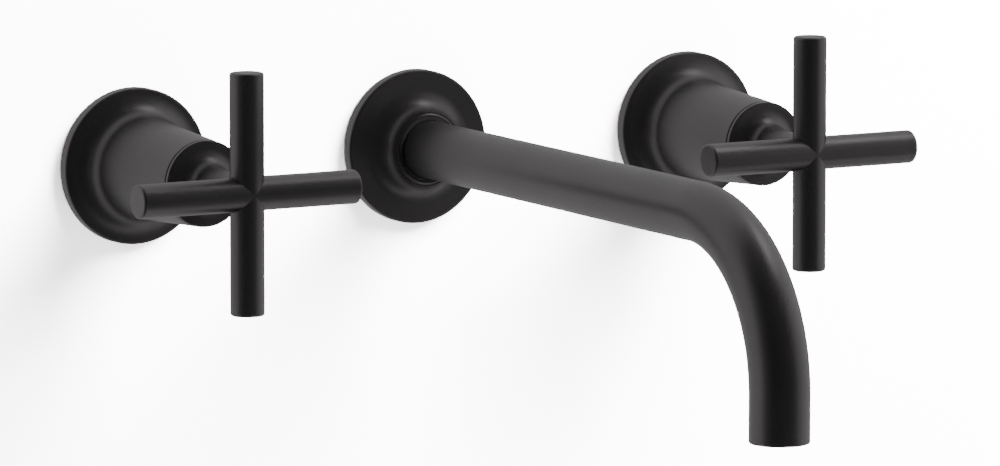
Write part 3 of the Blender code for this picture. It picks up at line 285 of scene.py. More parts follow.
def make_grain():
    """Two sizes of noise added into one height."""
    tree, given, result = shader_group("grain", {"Size": 1.0, "Fine Share": 0.5},
                                       {"Height": "NodeSocketFloat"})
    where = add(tree, "ShaderNodeTexCoord").outputs["Object"]
    scale = math(tree, "DIVIDE", 1.0, given["Size"])
    coarse = add(tree, "ShaderNodeTexNoise", Vector=where, Scale=scale, Detail=3.0, Roughness=0.6)
    closer = math(tree, "MULTIPLY", scale, 3.1)
    fine = add(tree, "ShaderNodeTexNoise", Vector=where, Scale=closer, Detail=2.0, Roughness=0.5)
    node = tree.nodes.new("ShaderNodeMix")
    feed(tree, node, 0, given["Fine Share"])
    feed(tree, node, 2, coarse.outputs["Fac"])
    feed(tree, node, 3, fine.outputs["Fac"])
    tree.links.new(node.outputs[0], result["Height"])
    return tree


GRAIN = make_grain()

# %% Smudges, for the change of roughness over a piece


def make_smudges():
    tree, given, result = shader_group("smudges", {"Size": 0.02, "Amount": 0.1, "Middle": 0.4},
                                       {"Roughness": "NodeSocketFloat", "Mask": "NodeSocketFloat"})
    where = add(tree, "ShaderNodeTexCoord").outputs["Object"]
    scale = math(tree, "DIVIDE", 1.0, given["Size"])
    cloud = add(tree, "ShaderNodeTexNoise", Vector=where, Scale=scale, Detail=4.0, Roughness=0.55)
    centred = math(tree, "SUBTRACT", cloud.outputs["Fac"], 0.5)
    swing = math(tree, "MULTIPLY", centred, given["Amount"])
    tree.links.new(math(tree, "ADD", swing, given["Middle"]), result["Roughness"])
    tree.links.new(cloud.outputs["Fac"], result["Mask"])
    return tree


SMUDGES = make_smudges()

# %% Tool rings, for turned work


def make_tool_rings():
    """Lines around an axis parallel to Y. Axis X and Axis Z say where the axis is."""
    tree, given, result = shader_group(
        "tool rings", {"Axis X": 0.0, "Axis Z": 0.0, "Pitch": 0.0003}, {"Height": "NodeSocketFloat"})
    where = add(tree, "ShaderNodeTexCoord").outputs["Object"]
    parts = add(tree, "ShaderNodeSeparateXYZ", Vector=where).outputs
    across = math(tree, "SUBTRACT", parts["X"], given["Axis X"])
    above = math(tree, "SUBTRACT", parts["Z"], given["Axis Z"])
    squares = math(tree, "ADD", math(tree, "MULTIPLY", across, across), math(tree, "MULTIPLY", above, above))
    radius = math(tree, "SQRT", squares)
    along = add(tree, "ShaderNodeCombineXYZ", X=radius, Y=parts["Y"])
    scale = math(tree, "DIVIDE", 1.0, given["Pitch"])
    lines = add(tree, "ShaderNodeTexNoise", Vector=along.outputs[0], Scale=scale, Detail=2.0, Roughness=0.7)
    tree.links.new(lines.outputs["Fac"], result["Height"])
    return tree


TOOL_RINGS = make_tool_rings()
print("shader groups:", [g.name for g in bpy.data.node_groups])

# %% [markdown]
# ## Matt black coat
#
# The visible pieces are brass with a thin dark coat. Its own colour is almost black, and what is
# seen of it is mostly its soft reflection. An ordinary paint has an index of refraction of 1.5,
# which gives back a twenty-fifth of the light that meets it head on. That was too dull here, so
# the index is set to 2.2, which gives back a seventh, and is not a measured value. The
# reflection is slightly warm. The surface has a very fine orange peel, and the roughness wanders
# a little where hands and cloths have been.

# %% Matt black coat
COAT_COLOUR = (0.0042, 0.0039, 0.0040)
COAT_WORN = (0.0095, 0.0088, 0.0090)
COAT_ROUGHNESS = 0.38
COAT_IOR = 2.2
COAT_TINT = (1.0, 0.94, 0.95)


def matt_black():
    material, tree, shader = new_material("matt_black_coat", COAT_ROUGHNESS)
    shader.inputs["IOR"].default_value = COAT_IOR
    shader.inputs["Specular Tint"].default_value = (*COAT_TINT, 1)
    smudges = place_group(tree, SMUDGES, Size=0.024, Amount=0.14, Middle=COAT_ROUGHNESS)
    tree.links.new(smudges.outputs["Roughness"], shader.inputs["Roughness"])
    grain = place_group(tree, GRAIN, Size=0.0005, Fine_Share=0.45)
    speck = math(tree, "MULTIPLY", smudges.outputs["Mask"], grain.outputs["Height"])
    colour = mix_colours(tree, speck, COAT_COLOUR, COAT_WORN)
    tree.links.new(colour, shader.inputs["Base Color"])
    bump(tree, shader, grain.outputs["Height"], 0.16, 0.00006)
    return material


BLACK = matt_black()

# %% [markdown]
# ## Brass, copper and steel
#
# Machined brass is bright, with tool rings around the axis of the work, so each handle's brass
# has its own material with the rings centred on that handle. Cast brass is duller, with the
# grain of the mould. Copper tube carries faint brown clouds where it has tarnished.

# %% Machined brass
BRASS_COLOUR = (0.74, 0.53, 0.24)
BRASS_DARK = (0.50, 0.33, 0.13)


def machined_brass(name, axis_x):
    material, tree, shader = new_material(name, 0.27, 1.0)
    rings = place_group(tree, TOOL_RINGS, Axis_X=axis_x, Axis_Z=0.0, Pitch=0.00035)
    smudges = place_group(tree, SMUDGES, Size=0.012, Amount=0.22, Middle=0.27)
    tree.links.new(smudges.outputs["Roughness"], shader.inputs["Roughness"])
    tarnish = math(tree, "MULTIPLY", smudges.outputs["Mask"], 0.6)
    tree.links.new(mix_colours(tree, tarnish, BRASS_COLOUR, BRASS_DARK), shader.inputs["Base Color"])
    bump(tree, shader, rings.outputs["Height"], 0.25, 0.00005)
    return material


BRASS = {side: machined_brass(f"machined_brass_{side}", AXIS_X[side]) for side in SIDES}
BRASS["middle"] = machined_brass("machined_brass_middle", 0.0)

# %% Cast brass


def cast_brass():
    material, tree, shader = new_material("cast_brass", 0.48, 1.0)
    grain = place_group(tree, GRAIN, Size=0.0009, Fine_Share=0.35)
    smudges = place_group(tree, SMUDGES, Size=0.018, Amount=0.25, Middle=0.48)
    tree.links.new(smudges.outputs["Roughness"], shader.inputs["Roughness"])
    hollow = math(tree, "MULTIPLY", smudges.outputs["Mask"], grain.outputs["Height"])
    colour = mix_colours(tree, math(tree, "MULTIPLY", hollow, 1.8), (0.66, 0.47, 0.22), (0.38, 0.25, 0.11))
    tree.links.new(colour, shader.inputs["Base Color"])
    bump(tree, shader, grain.outputs["Height"], 0.5, 0.00018)
    return material


CAST = cast_brass()

# %% Copper tube


def copper():
    material, tree, shader = new_material("copper_tube", 0.3, 1.0)
    smudges = place_group(tree, SMUDGES, Size=0.009, Amount=0.3, Middle=0.32)
    tree.links.new(smudges.outputs["Roughness"], shader.inputs["Roughness"])
    tarnish = math(tree, "MULTIPLY", smudges.outputs["Mask"], 0.8)
    colour = mix_colours(tree, tarnish, (0.83, 0.44, 0.30), (0.45, 0.19, 0.11))
    tree.links.new(colour, shader.inputs["Base Color"])
    where = add(tree, "ShaderNodeTexCoord").outputs["Object"]
    stretch = add(tree, "ShaderNodeMapping", Vector=where, Scale=(20, 2500, 2500))
    lines = add(tree, "ShaderNodeTexNoise", Vector=stretch.outputs[0], Scale=1.0, Detail=2.0)
    bump(tree, shader, lines.outputs["Fac"], 0.15, 0.00004)
    return material


COPPER = copper()

# %% [markdown]
# ## Steel, zinc, ceramic, plastics and rubber
#
# Zinc plate freezes in patches of crystal, called spangle, which a Voronoi texture gives. The
# ceramic discs are lapped almost to a mirror. Nylon and acetal are moulded, so they have a soft
# grain. Rubber seals are dark and nearly matt, and the foam gaskets are full of tiny cells.

# %% Steel and zinc plate


def steel():
    material, tree, shader = new_material("plated_steel", 0.3, 1.0)
    smudges = place_group(tree, SMUDGES, Size=0.004, Amount=0.3, Middle=0.3)
    tree.links.new(smudges.outputs["Roughness"], shader.inputs["Roughness"])
    colour = mix_colours(tree, smudges.outputs["Mask"], (0.62, 0.62, 0.63), (0.42, 0.42, 0.44))
    tree.links.new(colour, shader.inputs["Base Color"])
    grain = place_group(tree, GRAIN, Size=0.0006, Fine_Share=0.5)
    bump(tree, shader, grain.outputs["Height"], 0.15, 0.00004)
    return material


def zinc_plate():
    material, tree, shader = new_material("zinc_plate", 0.4, 1.0)
    where = add(tree, "ShaderNodeTexCoord").outputs["Object"]
    spangle = add(tree, "ShaderNodeTexVoronoi", Vector=where, Scale=210.0, Randomness=1.0)
    tone = add(tree, "ShaderNodeSeparateColor", Color=spangle.outputs["Color"]).outputs[0]
    colour = mix_colours(tree, tone, (0.50, 0.52, 0.54), (0.72, 0.74, 0.75))
    tree.links.new(colour, shader.inputs["Base Color"])
    rough = math(tree, "MULTIPLY_ADD", tone, 0.22, 0.28)
    tree.links.new(rough, shader.inputs["Roughness"])
    grain = place_group(tree, GRAIN, Size=0.0012, Fine_Share=0.5)
    bump(tree, shader, grain.outputs["Height"], 0.2, 0.00008)
    return material


STEEL = steel()
ZINC = zinc_plate()

# %% Ceramic, plastics, rubber and foam


def plain_finish(name, light, dark, roughness, grain_size, grain_depth, spread=0.1):
    """A moulded or pressed finish: two close colours, a grain, and a roughness that wanders."""
    material, tree, shader = new_material(name, roughness)
    smudges = place_group(tree, SMUDGES, Size=0.006, Amount=spread, Middle=roughness)
    tree.links.new(smudges.outputs["Roughness"], shader.inputs["Roughness"])
    tree.links.new(mix_colours(tree, smudges.outputs["Mask"], light, dark), shader.inputs["Base Color"])
    grain = place_group(tree, GRAIN, Size=grain_size, Fine_Share=0.5)
    bump(tree, shader, grain.outputs["Height"], 0.3, grain_depth)
    return material


CERAMIC = plain_finish("lapped_ceramic", (0.88, 0.87, 0.83), (0.80, 0.79, 0.75), 0.14, 0.0003, 0.00001)
NYLON = plain_finish("natural_nylon", (0.82, 0.80, 0.74), (0.70, 0.68, 0.62), 0.46, 0.0006, 0.00004)
ACETAL = plain_finish("grey_acetal", (0.42, 0.43, 0.44), (0.32, 0.33, 0.34), 0.42, 0.0005, 0.00004)
RUBBER = plain_finish("black_rubber", (0.022, 0.021, 0.021), (0.012, 0.012, 0.012), 0.5, 0.0004, 0.00005)
FOAM = plain_finish("closed_cell_foam", (0.065, 0.065, 0.068), (0.03, 0.03, 0.03), 0.9, 0.0008, 0.00035)
print("finishes:", [m.name for m in bpy.data.materials])

# %% [markdown]
# ## Turned pieces
#
# Most of a faucet is turned on a lathe, so most of it is one outline swept around an axis. The
# outline is a list of (radius, out) corners. No machined edge is perfectly sharp: each corner is
# eased with a small curve, which catches the light. A corner may name a shape too: HEX for a
# spanner hexagon, or LOBES for the drive of a stem. The same tool then makes nuts and splines.

# %% Outlines
HEX = "hexagon"
LOBES = "lobes"
LOBE_COUNT = 6
LOBE_DEPTH = 0.45 * MM
EASE = 0.25 * MM
ON_AXIS = 1e-7
SHARP_TURN = radians(24)


def arc(centre_radius, centre_out, radius, start, end, steps=12):
    """Corners along a round stretch of an outline, with both ends."""
    corners = []
    for k in range(steps + 1):
        angle = start + (end - start) * k / steps
        corners.append((centre_radius + radius * cos(angle), centre_out + radius * sin(angle)))
    return corners


def eased(outline, ease):
    """The outline with each clear corner replaced by a short curve."""
    closed = outline[0][0] > ON_AXIS
    corners = []
    for k, corner in enumerate(outline):
        at_end = k in (0, len(outline) - 1)
        if len(corner) > 2 or corner[0] < ON_AXIS or (at_end and not closed):
            corners.append(corner)
            continue
        here = Vector(corner)
        before, after = Vector(outline[k - 1][:2]), Vector(outline[(k + 1) % len(outline)][:2])
        back, on = before - here, after - here
        if min(back.length, on.length) < ON_AXIS or back.angle(-on) < SHARP_TURN:
            corners.append(corner)
            continue
        reach = min(ease, 0.45 * back.length, 0.45 * on.length)
        first, last = here + back.normalized() * reach, here + on.normalized() * reach
        for step in range(4):
            t = step / 3
            corners.append(tuple(first * (1 - t) ** 2 + here * 2 * t * (1 - t) + last * t ** 2))
    return corners


# %% The lathe


def ring_radius(radius, shape, angle):
    """The distance from the axis at an angle, for a ring of some shape."""
    if shape == HEX:
        return radius / cos(angle % (pi / 3) - pi / 6)
    if shape == LOBES:
        return radius - LOBE_DEPTH * (1 - cos(LOBE_COUNT * angle)) / 2
    return radius


def bridge(bm, one, other):
    """The faces between two neighbouring rings, either of which may be a single vertex."""
    count = max(len(one), len(other))
    for k in range(count):
        after = (k + 1) % count
        corners = [one[k % len(one)], one[after % len(one)], other[after % len(other)], other[k % len(other)]]
        bm.faces.new(list(dict.fromkeys(corners)))


def turned_shape(outline, sides, ease):
    """A closed bmesh turned around the Y axis."""
    bm = bmesh.new()
    rings = []
    for radius, out, *shape in eased(outline, ease):
        if radius < ON_AXIS:
            rings.append([bm.verts.new((0, -out, 0))])
            continue
        vertices = []
        for k in range(sides):
            angle = 2 * pi * k / sides
            r = ring_radius(radius, shape[0] if shape else None, angle)
            vertices.append(bm.verts.new((r * cos(angle), -out, r * sin(angle))))
        rings.append(vertices)
    for one, other in zip(rings, rings[1:]):
        bridge(bm, one, other)
    if len(rings[0]) > 1:
        bridge(bm, rings[-1], rings[0])
    return bm


def new_object(name, bm, at=(0, 0, 0), facing=OUT):
    """An object at the origin whose place is in its mesh, turned so that OUT becomes facing."""
    turn = OUT.rotation_difference(facing).to_matrix().to_4x4() if facing != OUT else Matrix.Identity(4)
    bmesh.ops.transform(bm, matrix=Matrix.Translation(at) @ turn, verts=bm.verts)
    bmesh.ops.recalc_face_normals(bm, faces=bm.faces)
    mesh = bpy.data.meshes.new(name)
    bm.to_mesh(mesh)
    bm.free()
    piece = bpy.data.objects.new(name, mesh)
    bpy.context.scene.collection.objects.link(piece)
    return piece


def turned(name, outline, at=(0, 0, 0), facing=OUT, sides=96, ease=EASE):
    return new_object(name, turned_shape(outline, sides, ease), at, facing)


# %% [markdown]
# ## Joining, cutting and finishing
#
# A boss grows out of a body, and a hole is drilled into it. Both are Booleans, and here they are
# applied at once, so that a finished piece is one plain mesh. Finishing gives a piece its
# material, smooth shading with weighted normals and its moving body, and hides the CAD piece
# it stands for.

# %% Joining and cutting


def apply_modifiers(piece):
    graph = bpy.context.evaluated_depsgraph_get()
    mesh = bpy.data.meshes.new_from_object(piece.evaluated_get(graph), depsgraph=graph)
    piece.modifiers.clear()
    old, piece.data = piece.data, mesh
    bpy.data.meshes.remove(old)
    mesh.name = piece.name


def boolean(piece, tool, operation):
    """Both meshes are closed, and the manifold solver keeps the result closed."""
    modifier = piece.modifiers.new(operation, "BOOLEAN")
    modifier.operation = operation
    modifier.solver = "MANIFOLD"
    modifier.object = tool
    apply_modifiers(piece)
    bpy.data.objects.remove(tool, do_unlink=True)


def join(piece, tool):
    boolean(piece, tool, "UNION")


def cut(piece, tool):
    boolean(piece, tool, "DIFFERENCE")


# %% Finishing a piece
SHARP_EDGE = radians(38)
finished = []


def finish_piece(piece, material, body, slot, *nodes):
    """The last step for every piece."""
    mesh = piece.data
    mesh.materials.clear()
    mesh.materials.append(material)
    mesh.shade_smooth()
    mesh.set_sharp_from_angle(angle=SHARP_EDGE)
    weights = piece.modifiers.new("weighted normals", "WEIGHTED_NORMAL")
    weights.keep_sharp = True
    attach(piece, body)
    if nodes:
        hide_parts(*nodes)
    finished.append(piece.name)
    return piece


# %% [markdown]
# ## Geometry Nodes: running a tree once
#
# A tree is given its sizes by name, runs once, and leaves a plain mesh. The modifier stores each
# input under the socket's identifier, so the names are looked up in the tree's interface.

# %% Run a tree


def geometry_tree(name, inputs):
    """An empty geometry tree with one Geometry input and named numbers."""
    tree = bpy.data.node_groups.new(name, "GeometryNodeTree")
    tree.interface.new_socket("Geometry", in_out="INPUT", socket_type="NodeSocketGeometry")
    for label, kind in inputs.items():
        tree.interface.new_socket(label, in_out="INPUT", socket_type=kind)
    tree.interface.new_socket("Geometry", in_out="OUTPUT", socket_type="NodeSocketGeometry")
    return tree, tree.nodes.new("NodeGroupInput").outputs, tree.nodes.new("NodeGroupOutput").inputs


def run_tree(piece, tree, **values):
    """Runs the tree on a piece and keeps the result as the piece's own mesh."""
    modifier = piece.modifiers.new(tree.name, "NODES")
    modifier.node_group = tree
    for socket in tree.interface.items_tree:
        label = socket.name.replace(" ", "_")
        if socket.in_out == "INPUT" and label in values:
            modifier[socket.identifier] = values[label]
    apply_modifiers(piece)
    return piece


def end_tree(tree, geometry, given, result):
    """Every tree ends in Realize Instances and Set Material."""
    real = add(tree, "GeometryNodeRealizeInstances", Geometry=geometry)
    painted = add(tree, "GeometryNodeSetMaterial", Geometry=real.outputs[0], Material=given["Material"])
    tree.links.new(painted.outputs[0], result["Geometry"])


FLOAT, INTEGER, MATERIAL = "NodeSocketFloat", "NodeSocketInt", "NodeSocketMaterial"

# %% [markdown]
# ## Spout tube
#
# The spout is a straight tube bent once on a mandrel, so it follows a rule: two straight legs, a
# round bend between them, and one circle swept along the path. Geometry Nodes build it that way.
# Three points make the path, Fillet Curve rounds the middle one, Curve to Mesh sweeps the circle,
# and the skin is thickened inwards, so that the tube is open at both ends like the real one.

# %% The bent tube's tree


def bent_tube_tree():
    tree, given, result = geometry_tree("bent_tube", {
        "Start Out": FLOAT, "Reach": FLOAT, "Drop": FLOAT, "Bend": FLOAT, "Radius": FLOAT, "Wall": FLOAT,
        "Sides": INTEGER, "Bend Steps": INTEGER, "Material": MATERIAL})
    line = add(tree, "GeometryNodeMeshLine", {"mode": "OFFSET"}, Count=3)
    index = add(tree, "GeometryNodeInputIndex").outputs[0]
    at_wall = add(tree, "FunctionNodeCompare", {"data_type": "INT", "operation": "EQUAL"})
    feed(tree, at_wall, 2, index)
    feed(tree, at_wall, 3, 0)
    at_tip = add(tree, "FunctionNodeCompare", {"data_type": "INT", "operation": "EQUAL"})
    feed(tree, at_tip, 2, index)
    feed(tree, at_tip, 3, 2)
    out = tree.nodes.new("GeometryNodeSwitch")
    out.input_type = "FLOAT"
    feed(tree, out, 0, at_wall.outputs[0])
    feed(tree, out, 1, given["Reach"])
    feed(tree, out, 2, given["Start Out"])
    down = tree.nodes.new("GeometryNodeSwitch")
    down.input_type = "FLOAT"
    feed(tree, down, 0, at_tip.outputs[0])
    feed(tree, down, 1, 0.0)
    feed(tree, down, 2, given["Drop"])
    point = add(tree, "ShaderNodeCombineXYZ", Y=math(tree, "MULTIPLY", out.outputs[0], -1.0),
                Z=math(tree, "MULTIPLY", down.outputs[0], -1.0))
    placed = add(tree, "GeometryNodeSetPosition", Geometry=line.outputs[0], Position=point.outputs[0])
    path = add(tree, "GeometryNodeMeshToCurve", Mesh=placed.outputs[0])
    bent = tree.nodes.new("GeometryNodeFilletCurve")
    set_mode(bent, "POLY", "Poly")
    feed(tree, bent, "Curve", path.outputs[0])
    feed(tree, bent, "Count", given["Bend Steps"])
    feed(tree, bent, "Radius", given["Bend"])
    circle = add(tree, "GeometryNodeCurvePrimitiveCircle", Resolution=given["Sides"], Radius=given["Radius"])
    skin = add(tree, "GeometryNodeCurveToMesh", Curve=bent.outputs[0], Profile_Curve=circle.outputs[0])
    thick = thicken(tree, skin.outputs[0], given["Wall"])
    end_tree(tree, thick, given, result)
    return tree


def set_mode(node, old_value, new_value):
    """The node's mode is a property in some versions and a menu input in others."""
    if hasattr(node, "mode"):
        node.mode = old_value
    else:
        node.inputs["Mode"].default_value = new_value


def thicken(tree, skin, wall):
    """A skin gets a wall: one copy stays outside, one is pushed in, and the open edges close."""
    inward = math(tree, "MULTIPLY", wall, -1.0)
    pushed = add(tree, "GeometryNodeExtrudeMesh", {"mode": "FACES"}, Mesh=skin, Offset_Scale=inward,
                 Individual=False)
    both = tree.nodes.new("GeometryNodeJoinGeometry")
    flipped = add(tree, "GeometryNodeFlipFaces", Mesh=pushed.outputs[0])
    tree.links.new(skin, both.inputs[0])
    tree.links.new(flipped.outputs[0], both.inputs[0])
    return add(tree, "GeometryNodeMergeByDistance", Geometry=both.outputs[0], Distance=1e-6).outputs[0]


BENT_TUBE = bent_tube_tree()
print("bent tube tree:", len(BENT_TUBE.nodes), "nodes")

# %% Make the spout tube
SCREW_OUT = 18 * MM
SCREW_RADIUS = 2 * MM
TIP_ROUND = 0.4 * MM


def round_edges(piece, width, angle=60, segments=3):
    """Rounds the edges that turn more than an angle, and keeps the result."""
    modifier = piece.modifiers.new("rounding", "BEVEL")
    modifier.width = width
    modifier.segments = segments
    modifier.limit_method = "ANGLE"
    modifier.angle_limit = radians(angle)
    apply_modifiers(piece)


def drill(name, at, facing, radius, start, end, sides=32):
    return turned(name, [(0, start), (radius, start), (radius, end), (0, end)], at, facing, sides, 0)


tube = new_object("fine_spout_tube", bmesh.new())
run_tree(tube, BENT_TUBE, Start_Out=SPOUT_START_OUT, Reach=SPOUT_REACH, Drop=SPOUT_DROP, Bend=SPOUT_BEND,
         Radius=SPOUT_RADIUS, Wall=SPOUT_WALL, Sides=96, Bend_Steps=48, Material=BLACK)
round_edges(tube, TIP_ROUND)
screw_hole = drill("drill", (0, -SCREW_OUT, 0), DOWN, SCREW_RADIUS + 0.2 * MM,
                   SPOUT_BORE / 2, SPOUT_RADIUS + MM)
cut(tube, screw_hole)
finish_piece(tube, BLACK, FIXED, "matte_black", "spout_tube")
print("spout tube:", len(tube.data.polygons), "faces")

# %% [markdown]
# ## Threads
#
# A screw thread repeats along a helix. A ridge could be swept along a spiral curve and pushed
# into the shaft, but then the piece is two skins that cross. This tree works like a lathe
# instead: it takes a finely divided shaft and moves its skin in towards the axis wherever the
# tool would have cut, so the shaft stays one closed skin.

# %% The thread's tree


def thread_tree():
    """The cut is deepest in the middle of each turn, and fades in and out over one pitch."""
    tree, given, result = geometry_tree("cut_thread", {
        "Axis X": FLOAT, "Axis Z": FLOAT, "Shaft": FLOAT, "From": FLOAT, "To": FLOAT, "Pitch": FLOAT,
        "Depth": FLOAT, "Material": MATERIAL})
    position = add(tree, "GeometryNodeInputPosition").outputs[0]
    here = add(tree, "ShaderNodeSeparateXYZ", Vector=position).outputs
    across = math(tree, "SUBTRACT", here["X"], given["Axis X"])
    above = math(tree, "SUBTRACT", here["Z"], given["Axis Z"])
    squares = math(tree, "ADD", math(tree, "MULTIPLY", across, across), math(tree, "MULTIPLY", above, above))
    radius = math(tree, "SQRT", squares)
    out = math(tree, "MULTIPLY", here["Y"], -1.0)
    turns = math(tree, "DIVIDE", math(tree, "ARCTAN2", above, across), 2 * pi)
    phase = math(tree, "FRACT", math(tree, "ADD", math(tree, "DIVIDE", out, given["Pitch"]), turns))
    wave = math(tree, "ABSOLUTE", math(tree, "MULTIPLY_ADD", phase, 2.0, -1.0))
    rise = math(tree, "DIVIDE", math(tree, "SUBTRACT", out, given["From"]), given["Pitch"])
    fall = math(tree, "DIVIDE", math(tree, "SUBTRACT", given["To"], out), given["Pitch"])
    fade = math(tree, "MAXIMUM", math(tree, "MINIMUM", math(tree, "MINIMUM", rise, fall), 1.0), 0.0)
    on_shaft = add(tree, "ShaderNodeMath", {"operation": "COMPARE"})
    feed(tree, on_shaft, 0, radius)
    feed(tree, on_shaft, 1, given["Shaft"])
    feed(tree, on_shaft, 2, 0.00002)
    depth = math(tree, "MULTIPLY", math(tree, "MULTIPLY", wave, fade), given["Depth"])
    depth = math(tree, "MULTIPLY", depth, on_shaft.outputs[0])
    share = math(tree, "DIVIDE", depth, math(tree, "MULTIPLY", radius, -1.0))
    move = add(tree, "ShaderNodeCombineXYZ", X=math(tree, "MULTIPLY", across, share),
               Z=math(tree, "MULTIPLY", above, share))
    placed = add(tree, "GeometryNodeSetPosition", Geometry=given["Geometry"], Offset=move.outputs[0])
    end_tree(tree, placed.outputs[0], given, result)
    return tree


THREAD = thread_tree()
CUTS_PER_TURN = 8


def shaft(radius, start, end, pitch):
    """The corners of a shaft divided finely enough for a thread."""
    count = max(2, round(abs(end - start) / pitch * CUTS_PER_TURN))
    return [(radius, start + (end - start) * k / count) for k in range(count + 1)]


def cut_thread(piece, axis, radius, start, end, pitch, depth, material):
    run_tree(piece, THREAD, Axis_X=axis[0], Axis_Z=axis[1], Shaft=radius, From=start, To=end, Pitch=pitch,
             Depth=depth, Material=material)


print("thread tree:", len(THREAD.nodes), "nodes")

# %% [markdown]
# ## Wall flanges
#
# Each flange is spun from one brass blank: a flat disc with a rounded rim, a deep round sweep
# into the neck, and a hollow back with a raised rim that seats on the wall. The rim and the sweep
# are arcs, so the outline stays short, and the lathe gives them their roundness.

# %% The flange outline
FLANGE_EDGE = 4.2 * MM
RIM_ROUND = 0.7 * MM
RIM_WIDTH = 2.4 * MM
RECESS = 2.2 * MM
RECESS_FACE = 3.5 * MM
TRIM_WALL = 2 * MM


def flange_outline(neck_radius, sweep_radius, recess_to):
    rim = arc(FLANGE_RADIUS - RIM_ROUND, FLANGE_EDGE - RIM_ROUND, RIM_ROUND, 0, pi / 2, 8)
    sweep = arc(neck_radius + sweep_radius, FLANGE_EDGE + sweep_radius, sweep_radius, -pi / 2, -pi, 32)
    rim_bore = FLANGE_RADIUS - RIM_WIDTH
    return [(recess_to, RECESS), (rim_bore, RECESS), (rim_bore, 0), (FLANGE_RADIUS, 0)] + rim + sweep


# %% Handle escutcheons
NECK_ROOT_RADIUS = 16.1 * MM
NECK_END_RADIUS = 13.7 * MM
NECK_SWEEP = 7.6 * MM
NECK_LAND = 15 * MM
SLEEVE_RADIUS = half_width("hot_mounting_sleeve")
TRIM_BORE = SLEEVE_RADIUS + 0.3 * MM


def escutcheon(side):
    throat = NECK_ROOT_RADIUS - TRIM_WALL
    land_out = NECK_END_OUT - NECK_LAND
    recess_to = FLANGE_RADIUS - RIM_WIDTH - RECESS_FACE
    front = [(NECK_END_RADIUS, NECK_END_OUT), (TRIM_BORE, NECK_END_OUT), (TRIM_BORE, land_out)]
    inside = [(NECK_END_RADIUS - 1.4 * MM, land_out - TRIM_WALL), (throat, FLANGE_EDGE + NECK_SWEEP)]
    flare = [(throat + 3 * MM, FLANGE_EDGE + MM)]
    outline = flange_outline(NECK_ROOT_RADIUS, NECK_SWEEP, recess_to) + front + inside + flare
    piece = turned(f"fine_{side}_escutcheon", outline, (AXIS_X[side], 0, 0), sides=128, ease=0.3 * MM)
    return finish_piece(piece, BLACK, FIXED, "matte_black", f"{side}_escutcheon")


for side in SIDES:
    print("escutcheon:", len(escutcheon(side).data.polygons), "faces")

# %% Spout flange
COLLAR_RADIUS = 12 * MM
COLLAR_SWEEP = 7 * MM
COLLAR_TAPER = 0.3 * MM
LIP_ROUND = 0.6 * MM
GRIP_RADIUS = 10.7 * MM
GRIP_DEPTH = 2.2 * MM
COLLAR_OUT = out_to("spout_flange")
FLANGE_BORE = SPOUT_RADIUS + 0.3 * MM
collar_back = FLANGE_BORE + 2.4 * MM
grip_floor = COLLAR_OUT - GRIP_DEPTH
outline = flange_outline(COLLAR_RADIUS, COLLAR_SWEEP, collar_back)
collar_end = COLLAR_RADIUS - COLLAR_TAPER
outline += [(collar_end, COLLAR_OUT - LIP_ROUND), (collar_end - LIP_ROUND, COLLAR_OUT)]
outline += [(GRIP_RADIUS, COLLAR_OUT), (GRIP_RADIUS, grip_floor)]
outline += [(FLANGE_BORE, grip_floor), (FLANGE_BORE, 0.5 * MM), (collar_back, 0.5 * MM)]
piece = turned("fine_spout_flange", outline, sides=128, ease=0.25 * MM)
finish_piece(piece, BLACK, FIXED, "matte_black", "spout_flange")
print("spout flange reaches", round(1000 * COLLAR_OUT, 1), "mm into the room")

# %% Seal rings and gaskets
SECTION_STEPS = 16


def seal_ring(node, body, at, facing=OUT):
    """A round rubber ring, as wide as its box along the axis."""
    low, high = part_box(node)
    size = high - low
    along = min(size)
    outer = max(size) / 2
    section = along / 2
    corners = arc(outer - section, 0, section, 0, 2 * pi, SECTION_STEPS)[:-1]
    middle = (low + high) / 2
    piece = turned(f"fine_{node}", corners, (at[0], middle.y, at[1]), facing, 64, 0)
    return finish_piece(piece, RUBBER, body, "rubber", node)


def foam_gasket(node, axis_x):
    outer, thick = half_width(node), out_to(node)
    inner = outer - 4.3 * MM
    corners = [(outer, 0), (outer, thick), (inner, thick), (inner, 0)]
    piece = turned(f"fine_{node}", corners, (axis_x, 0, 0), ease=0.5 * MM)
    return finish_piece(piece, FOAM, FIXED, "foam", node)


def collar_seal():
    """A square seal that fills the collar's groove around the tube, almost level with its front."""
    inner, outer = SPOUT_RADIUS + 0.04 * MM, GRIP_RADIUS - 0.04 * MM
    back, front = grip_floor + 0.2 * MM, COLLAR_OUT - 0.05 * MM
    corners = [(outer, back), (outer, front), (inner, front), (inner, back)]
    piece = turned("fine_spout_flange_ring", corners, ease=0.12 * MM)
    return finish_piece(piece, RUBBER, FIXED, "rubber", "spout_flange_ring")


collar_seal()
seal_ring("spout_o_ring_rear", FIXED, (0, 0))
seal_ring("spout_o_ring_front", FIXED, (0, 0))
foam_gasket("spout_wall_gasket", 0)
for side in SIDES:
    seal_ring(f"{side}_cartridge_o_ring", FIXED, (AXIS_X[side], 0))
    seal_ring(f"{side}_stem_o_ring", f"{side}_handle_set", (AXIS_X[side], 0))
    foam_gasket(f"{side}_wall_gasket", AXIS_X[side])
print("seals and gaskets:", [n for n in finished if "ring" in n or "gasket" in n])

# %% [markdown]
# ## Cross handles
#
# Two round bars of the same size cross at a right angle, and where they meet the casting shows a
# crisp X of mitres. A Boolean of two cylinders would find that line only roughly. Here each
# arm starts at the mitre itself: on a bar of radius r, the mitre lies as far along the arm as
# the skin is away from the arm's middle plane. The hub below is turned, and joins the cross.

# %% The cross
ARM_SIDES = 72
ARM_END_ROUND = 0.8 * MM
ARM_STATIONS = 6


